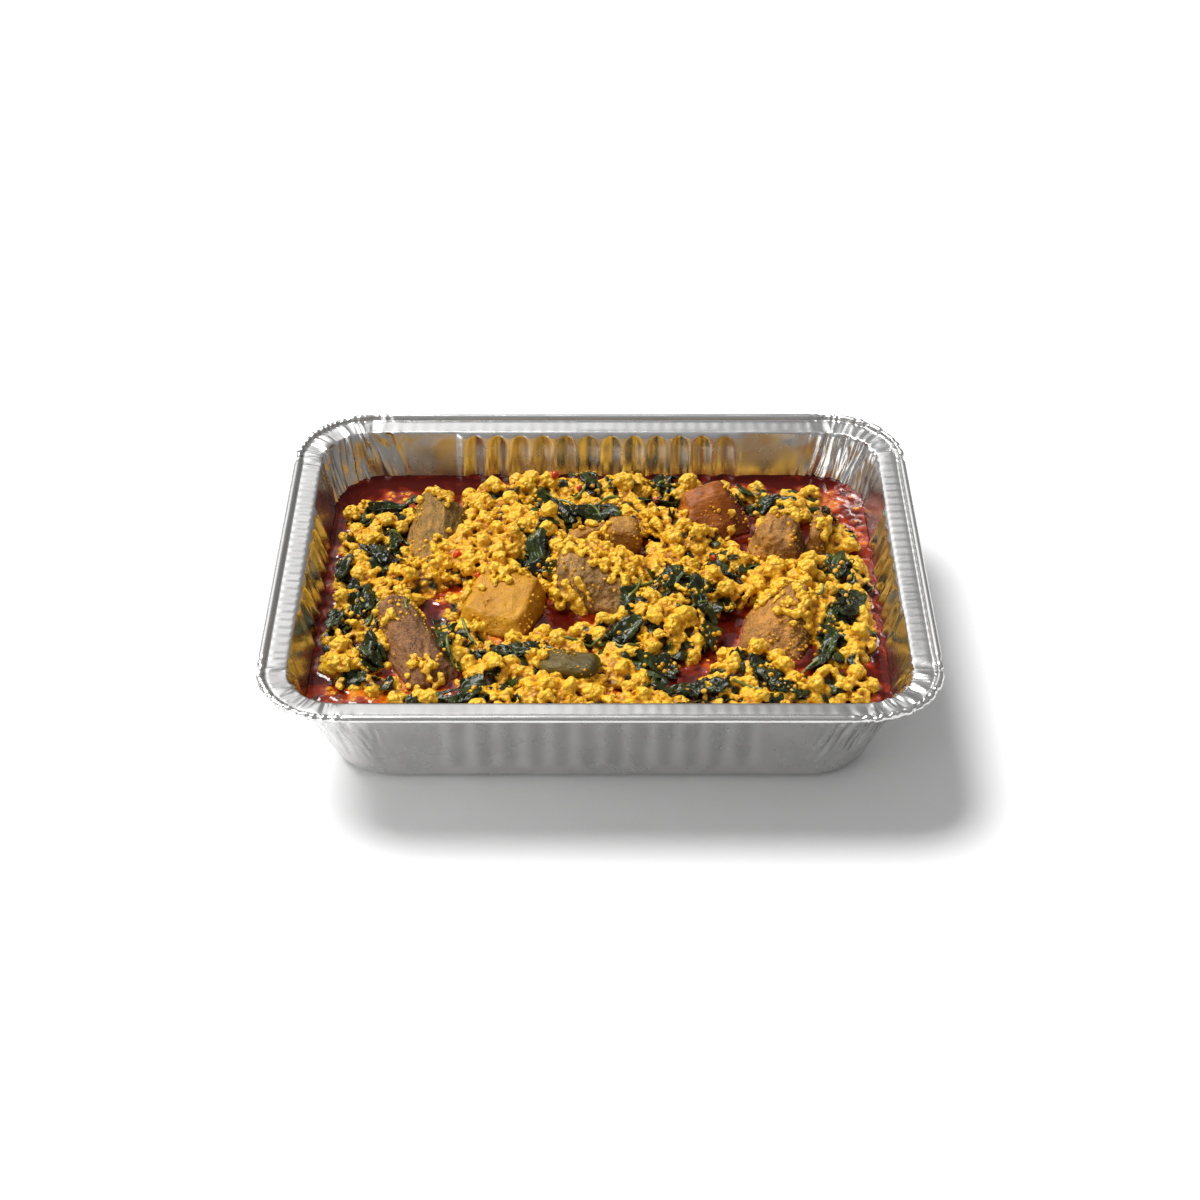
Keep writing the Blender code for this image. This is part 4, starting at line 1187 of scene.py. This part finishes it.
# Stems: middle x and y, length and turn in degrees.
STEMS = (
    (-20, 74, 20, -28), (-4, 66, 17, -35), (4, 74, 14, 10), (-10, 80, 12, 60), (18, -10, 24, 62),
    (24, -2, 16, 40), (-66, -40, 22, 112), (-74, -56, 18, 105), (-8, -46, 20, 8), (12, -52, 16, -14),
    (46, -24, 18, 28), (100, -62, 16, 50), (-104, 44, 16, -30), (112, -10, 18, 80), (-112, -30, 14, 65),
    (36, 88, 15, 5), (70, -82, 18, -22), (-96, -26, 15, 80),
)
STEM_RADIUS = 0.75
# Bits of pepper: middle x and y, and radius.
PEPPER = (
    (-24, 88, 2.3), (-11, 83, 1.9), (-73, 18, 2.2), (58, 20, 1.7), (-62, 6, 1.6), (30, 70, 1.5),
    (90, 66, 1.6),
)


def heights(tree, x, y):
    """The level of the food under each place."""
    found = [tree.ray_cast((a, b, 90.0), (0, 0, -1))[0] for a, b in zip(x.tolist(), y.tolist())]
    return np.array([hit.z if hit else STEW_LEVEL for hit in found])


def make_stems(top, draw):
    """Thin bent leaf stems that lie over the curds."""
    parts, rings, sides = [], 14, 7
    share = np.linspace(-0.5, 0.5, rings)
    around = np.arange(sides) / sides * math.tau
    for x, y, length, turn in STEMS:
        angle = math.radians(turn) + 0.6 * draw.normal() * share
        px, py = x + length * share * np.cos(angle), y + length * share * np.sin(angle)
        pz = np.convolve(np.pad(heights(top, px, py), 2, "edge"), np.full(5, 0.2), "valid") + 0.5
        radius = STEM_RADIUS * np.sqrt(np.clip(1.02 - (2 * share) ** 8, 0.05, 1))[:, None]
        across = np.column_stack([-np.sin(angle), np.cos(angle)])
        tube = np.empty((rings, sides, 3))
        aside = (radius * np.cos(around))[..., None]
        tube[..., :2] = np.column_stack([px, py])[:, None] + across[:, None] * aside
        tube[..., 2] = pz[:, None] + radius * np.sin(around)
        here = np.arange(rings * sides).reshape(rings, sides)
        a, b = here[:-1], np.roll(here, -1, axis=1)[:-1]
        faces = [np.stack([a, a + sides, b + sides], -1), np.stack([a, b + sides, b], -1)]
        fans = [[here[0, 0], here[0, k], here[0, k + 1]] for k in range(1, sides - 1)]
        fans += [[here[-1, 0], here[-1, k + 1], here[-1, k]] for k in range(1, sides - 1)]
        parts.append((tube.reshape(-1, 3), np.concatenate([face.reshape(-1, 3) for face in faces] + [fans])))
    return mesh_of("leaf_stems", *joined(parts))


def make_pepper(top, draw):
    """A few bits of red pepper."""
    x, y, size = np.array(PEPPER).T
    places = np.column_stack([x, y, heights(top, x, y) + 0.3])
    points, faces = balls(places, size, 3, draw)
    points = points + 0.45 * shifts(points, 1.6, 55)
    return mesh_of("pepper_bits", points, faces)


# Stage

# How far the floor goes each way, in millimetres. The rest of the stage is in metres.
FLOOR_REACH = 4000
KEY_PLACE = (-0.42, 0.33, 0.85)
PANEL_PLACE = (-0.95, 2.0, 1.5)
LOW_PLACE = (-0.42, -0.32, 0.16)
PANEL_SIZE = (2.4, 1.3)
LOW_SIZE = (0.4, 0.2)
# Level of the point that the camera looks at.
AIM = 0.0345


def lay_floor(scene):
    """The pale floor."""
    far = FLOOR_REACH
    floor = mesh_of("floor", [(-far, -far, 0), (far, -far, 0), (far, far, 0), (-far, far, 0)], [(0, 1, 2, 3)])
    look, tree, shader = finish("pale_floor")
    tree.links.new(blend(tree, grain(tree, 3.0, 2.0), (0.93, 0.93, 0.93), (0.90, 0.90, 0.90)),
                   shader.inputs["Base Color"])
    shader.inputs["Roughness"].default_value = 0.8
    floor.materials.append(look)
    ground = bpy.data.objects.new("floor", floor)
    scene.collection.objects.link(ground)


def light_room(scene, stage):
    """White light from all round, stronger from above."""
    world = bpy.data.worlds.new("soft_room")
    world.use_nodes = True
    tree = world.node_tree
    way = add_node(tree, "ShaderNodeTexCoord").outputs["Generated"]
    rise = add_node(tree, "ShaderNodeSeparateXYZ", {0: way}).outputs["Z"]
    strength = ramp(tree, rise, 0.0, 0.8, 0.5 * stage.fill, stage.fill)
    tree.nodes["Background"].inputs["Color"].default_value = (1.0, 1.0, 1.0, 1.0)
    tree.links.new(strength, tree.nodes["Background"].inputs["Strength"])
    scene.world = world


def soft_panel(name, size, power):
    """A light with the form of a rectangle."""
    light = bpy.data.lights.new(name, "AREA")
    light.shape = "RECTANGLE"
    light.size, light.size_y = size
    light.energy = power
    return light


def hang_lights(scene, stage):
    """The main light, the panel behind and the low light in front, each turned to the tray."""
    key = bpy.data.lights.new("key", "SUN")
    key.angle, key.energy = math.radians(34.0), stage.key
    panel = soft_panel("panel", PANEL_SIZE, stage.panel)
    low = soft_panel("low_fill", LOW_SIZE, stage.low)
    for light, place in ((key, KEY_PLACE), (panel, PANEL_PLACE), (low, LOW_PLACE)):
        lamp = bpy.data.objects.new(light.name, light)
        lamp.location = place
        lamp.rotation_euler = Vector(place).to_track_quat("Z", "Y").to_euler()
        scene.collection.objects.link(lamp)


def set_camera(scene, stage):
    """The camera of the photograph's view."""
    camera = bpy.data.cameras.new("photo_view")
    camera.lens = stage.lens
    camera.sensor_width = 36.0
    camera.clip_end = 30.0
    eye = bpy.data.objects.new("photo_view", camera)
    rise = stage.elevation
    eye.location = (0, -math.cos(rise) * stage.distance, AIM + math.sin(rise) * stage.distance)
    eye.rotation_euler = (math.pi / 2 - rise, 0, 0)
    scene.collection.objects.link(eye)
    scene.camera = eye


# Operators


class TrayOperator:
    """What every step of the meal shares."""

    bl_options = {"REGISTER", "UNDO"}

    def execute(self, context):
        """Builds the piece, or raises an error."""
        self.build(context.scene)
        return {"FINISHED"}


PIECES = {}


class MakeFoilTray(TrayOperator, bpy.types.Operator):
    """Presses the foil tray with its ribs, pleated corners and rolled rim"""

    bl_idname = "tray_meal.foil_tray"
    bl_label = "Foil Tray"

    def build(self, scene):
        mesh = make_tray(scene.meal_tray, Round())
        look = foil_finish(scene.meal_tray)
        PIECES["tray"] = add_piece("pressed_foil_tray", mesh, look, ["foil_tray"], "foil")


class MakeMeat(TrayOperator, bpy.types.Operator):
    """Shapes the pieces of meat"""

    bl_idname = "tray_meal.meat"
    bl_label = "Meat"

    def build(self, scene):
        for number, name in enumerate(MEATS):
            PIECES[name] = make_meat(scene.meal_meat, name, number)


class MakeLeaves(TrayOperator, bpy.types.Operator):
    """Crumples the cooked leaves"""

    bl_idname = "tray_meal.leaves"
    bl_label = "Leaves"

    def build(self, scene):
        mesh = make_leaves(scene.meal_leaf)
        look = leaf_finish(scene.meal_leaf)
        PIECES["leaves"] = add_piece("cooked_leaves", mesh, look, LEAVES, "leaf_green")


class MakeCurd(TrayOperator, bpy.types.Operator):
    """Heaps up the seed curd and strews the loose curds"""

    bl_idname = "tray_meal.curd"
    bl_label = "Seed Curd"

    def build(self, scene):
        curd, draw = scene.meal_curd, np.random.default_rng(scene.meal_curd.seed)
        meats = {name: PIECES[name] for name in MEATS}
        look = curd_finish(curd, scene.meal_oil, scene.meal_leaf)
        skin = make_curds(curd, meats, PIECES["leaves"], draw)
        PIECES["curd"] = add_piece("seed_curd_heaps", skin, look, HEAPS, "seed_curd")
        crumbs = make_crumbs(skin, meats, PIECES["leaves"], draw)
        PIECES["crumbs"] = add_piece("loose_curds", crumbs, look, (), "seed_curd")
        scraps = make_scraps(scene.meal_leaf, skin, PIECES["leaves"], draw)
        green = PIECES["leaves"].data.materials[0]
        PIECES["scraps"] = add_piece("leaf_scraps", scraps, green, (), "leaf_green")


class MakeBits(TrayOperator, bpy.types.Operator):
    """Lays the leaf stems and the bits of pepper over the food"""

    bl_idname = "tray_meal.bits"
    bl_label = "Stems and Pepper"

    def build(self, scene):
        draw = np.random.default_rng(5)
        meshes = [PIECES[key].data for key in ("curd", "leaves", "scraps", *MEATS)]
        points, faces = joined([(points_of(mesh), triangles_of(mesh)) for mesh in meshes])
        top = BVHTree.FromPolygons(points.tolist(), faces.tolist())
        stem = wet_finish("leaf_stem", scene.meal_bits.stem)
        PIECES["stems"] = add_piece("leaf_stems", make_stems(top, draw), stem, (), "leaf_green")
        pepper = wet_finish("red_pepper", scene.meal_bits.pepper)
        PIECES["pepper"] = add_piece("pepper_bits", make_pepper(top, draw), pepper)


class MakeOil(TrayOperator, bpy.types.Operator):
    """Fills the tray with the red oil and stew"""

    bl_idname = "tray_meal.oil"
    bl_label = "Red Oil"

    def build(self, scene):
        meshes = [PIECES[key].data for key in PIECES if key != "tray"]
        banks = np.concatenate([points_of(mesh) for mesh in meshes])
        steep = np.abs(np.concatenate([normals_of(mesh)[:, 2] for mesh in meshes])) < 0.8
        banks = banks[steep & (np.abs(banks[:, 2] - STEW_LEVEL - 0.3) < 0.7)]
        mesh = make_oil(scene.meal_tray, scene.meal_oil, Round(), banks)
        PIECES["oil"] = add_piece("palm_oil", mesh, oil_finish(scene.meal_oil), ["palm_oil_stew"], "red_oil")


class MakeStage(TrayOperator, bpy.types.Operator):
    """Sets the floor, the lights and the camera"""

    bl_idname = "tray_meal.stage"
    bl_label = "Stage"

    def build(self, scene):
        stage = scene.meal_stage
        scene.view_settings.view_transform = "Standard"
        lay_floor(scene)
        light_room(scene, stage)
        hang_lights(scene, stage)
        set_camera(scene, stage)


STEPS = (MakeFoilTray, MakeMeat, MakeLeaves, MakeCurd, MakeBits, MakeOil, MakeStage)
GROUPS = {
    "meal_tray": TrayProperties,
    "meal_meat": MeatProperties,
    "meal_leaf": LeafProperties,
    "meal_curd": CurdProperties,
    "meal_bits": BitsProperties,
    "meal_oil": OilProperties,
    "meal_stage": StageProperties,
}


class MealPanel(bpy.types.Panel):
    """Lists the steps of the meal with their sizes and colours."""

    bl_idname = "VIEW3D_PT_tray_meal"
    bl_label = "Foil Tray Meal"
    bl_space_type = "VIEW_3D"
    bl_region_type = "UI"
    bl_category = "Tray Meal"

    def draw(self, context):
        """Lays out the buttons and values."""
        for step, group in zip(STEPS, GROUPS):
            box = self.layout.box()
            box.operator(step.bl_idname)
            values = getattr(context.scene, group)
            for name in values.__annotations__:
                box.prop(values, name)


def register():
    """Adds the panel, the steps and their values."""
    for group in (*GROUPS.values(), *STEPS, MealPanel):
        bpy.utils.register_class(group)
    for name, group in GROUPS.items():
        setattr(bpy.types.Scene, name, PointerProperty(type=group))


def unregister():
    """Takes them away again."""
    for name in GROUPS:
        delattr(bpy.types.Scene, name)
    for group in reversed((*GROUPS.values(), *STEPS, MealPanel)):
        bpy.utils.unregister_class(group)


def main():
    """Builds the whole meal."""
    register()
    bpy.ops.tray_meal.foil_tray()
    bpy.ops.tray_meal.meat()
    bpy.ops.tray_meal.leaves()
    bpy.ops.tray_meal.curd()
    bpy.ops.tray_meal.bits()
    bpy.ops.tray_meal.oil()
    bpy.ops.tray_meal.stage()


if __name__ == "__main__":
    main()
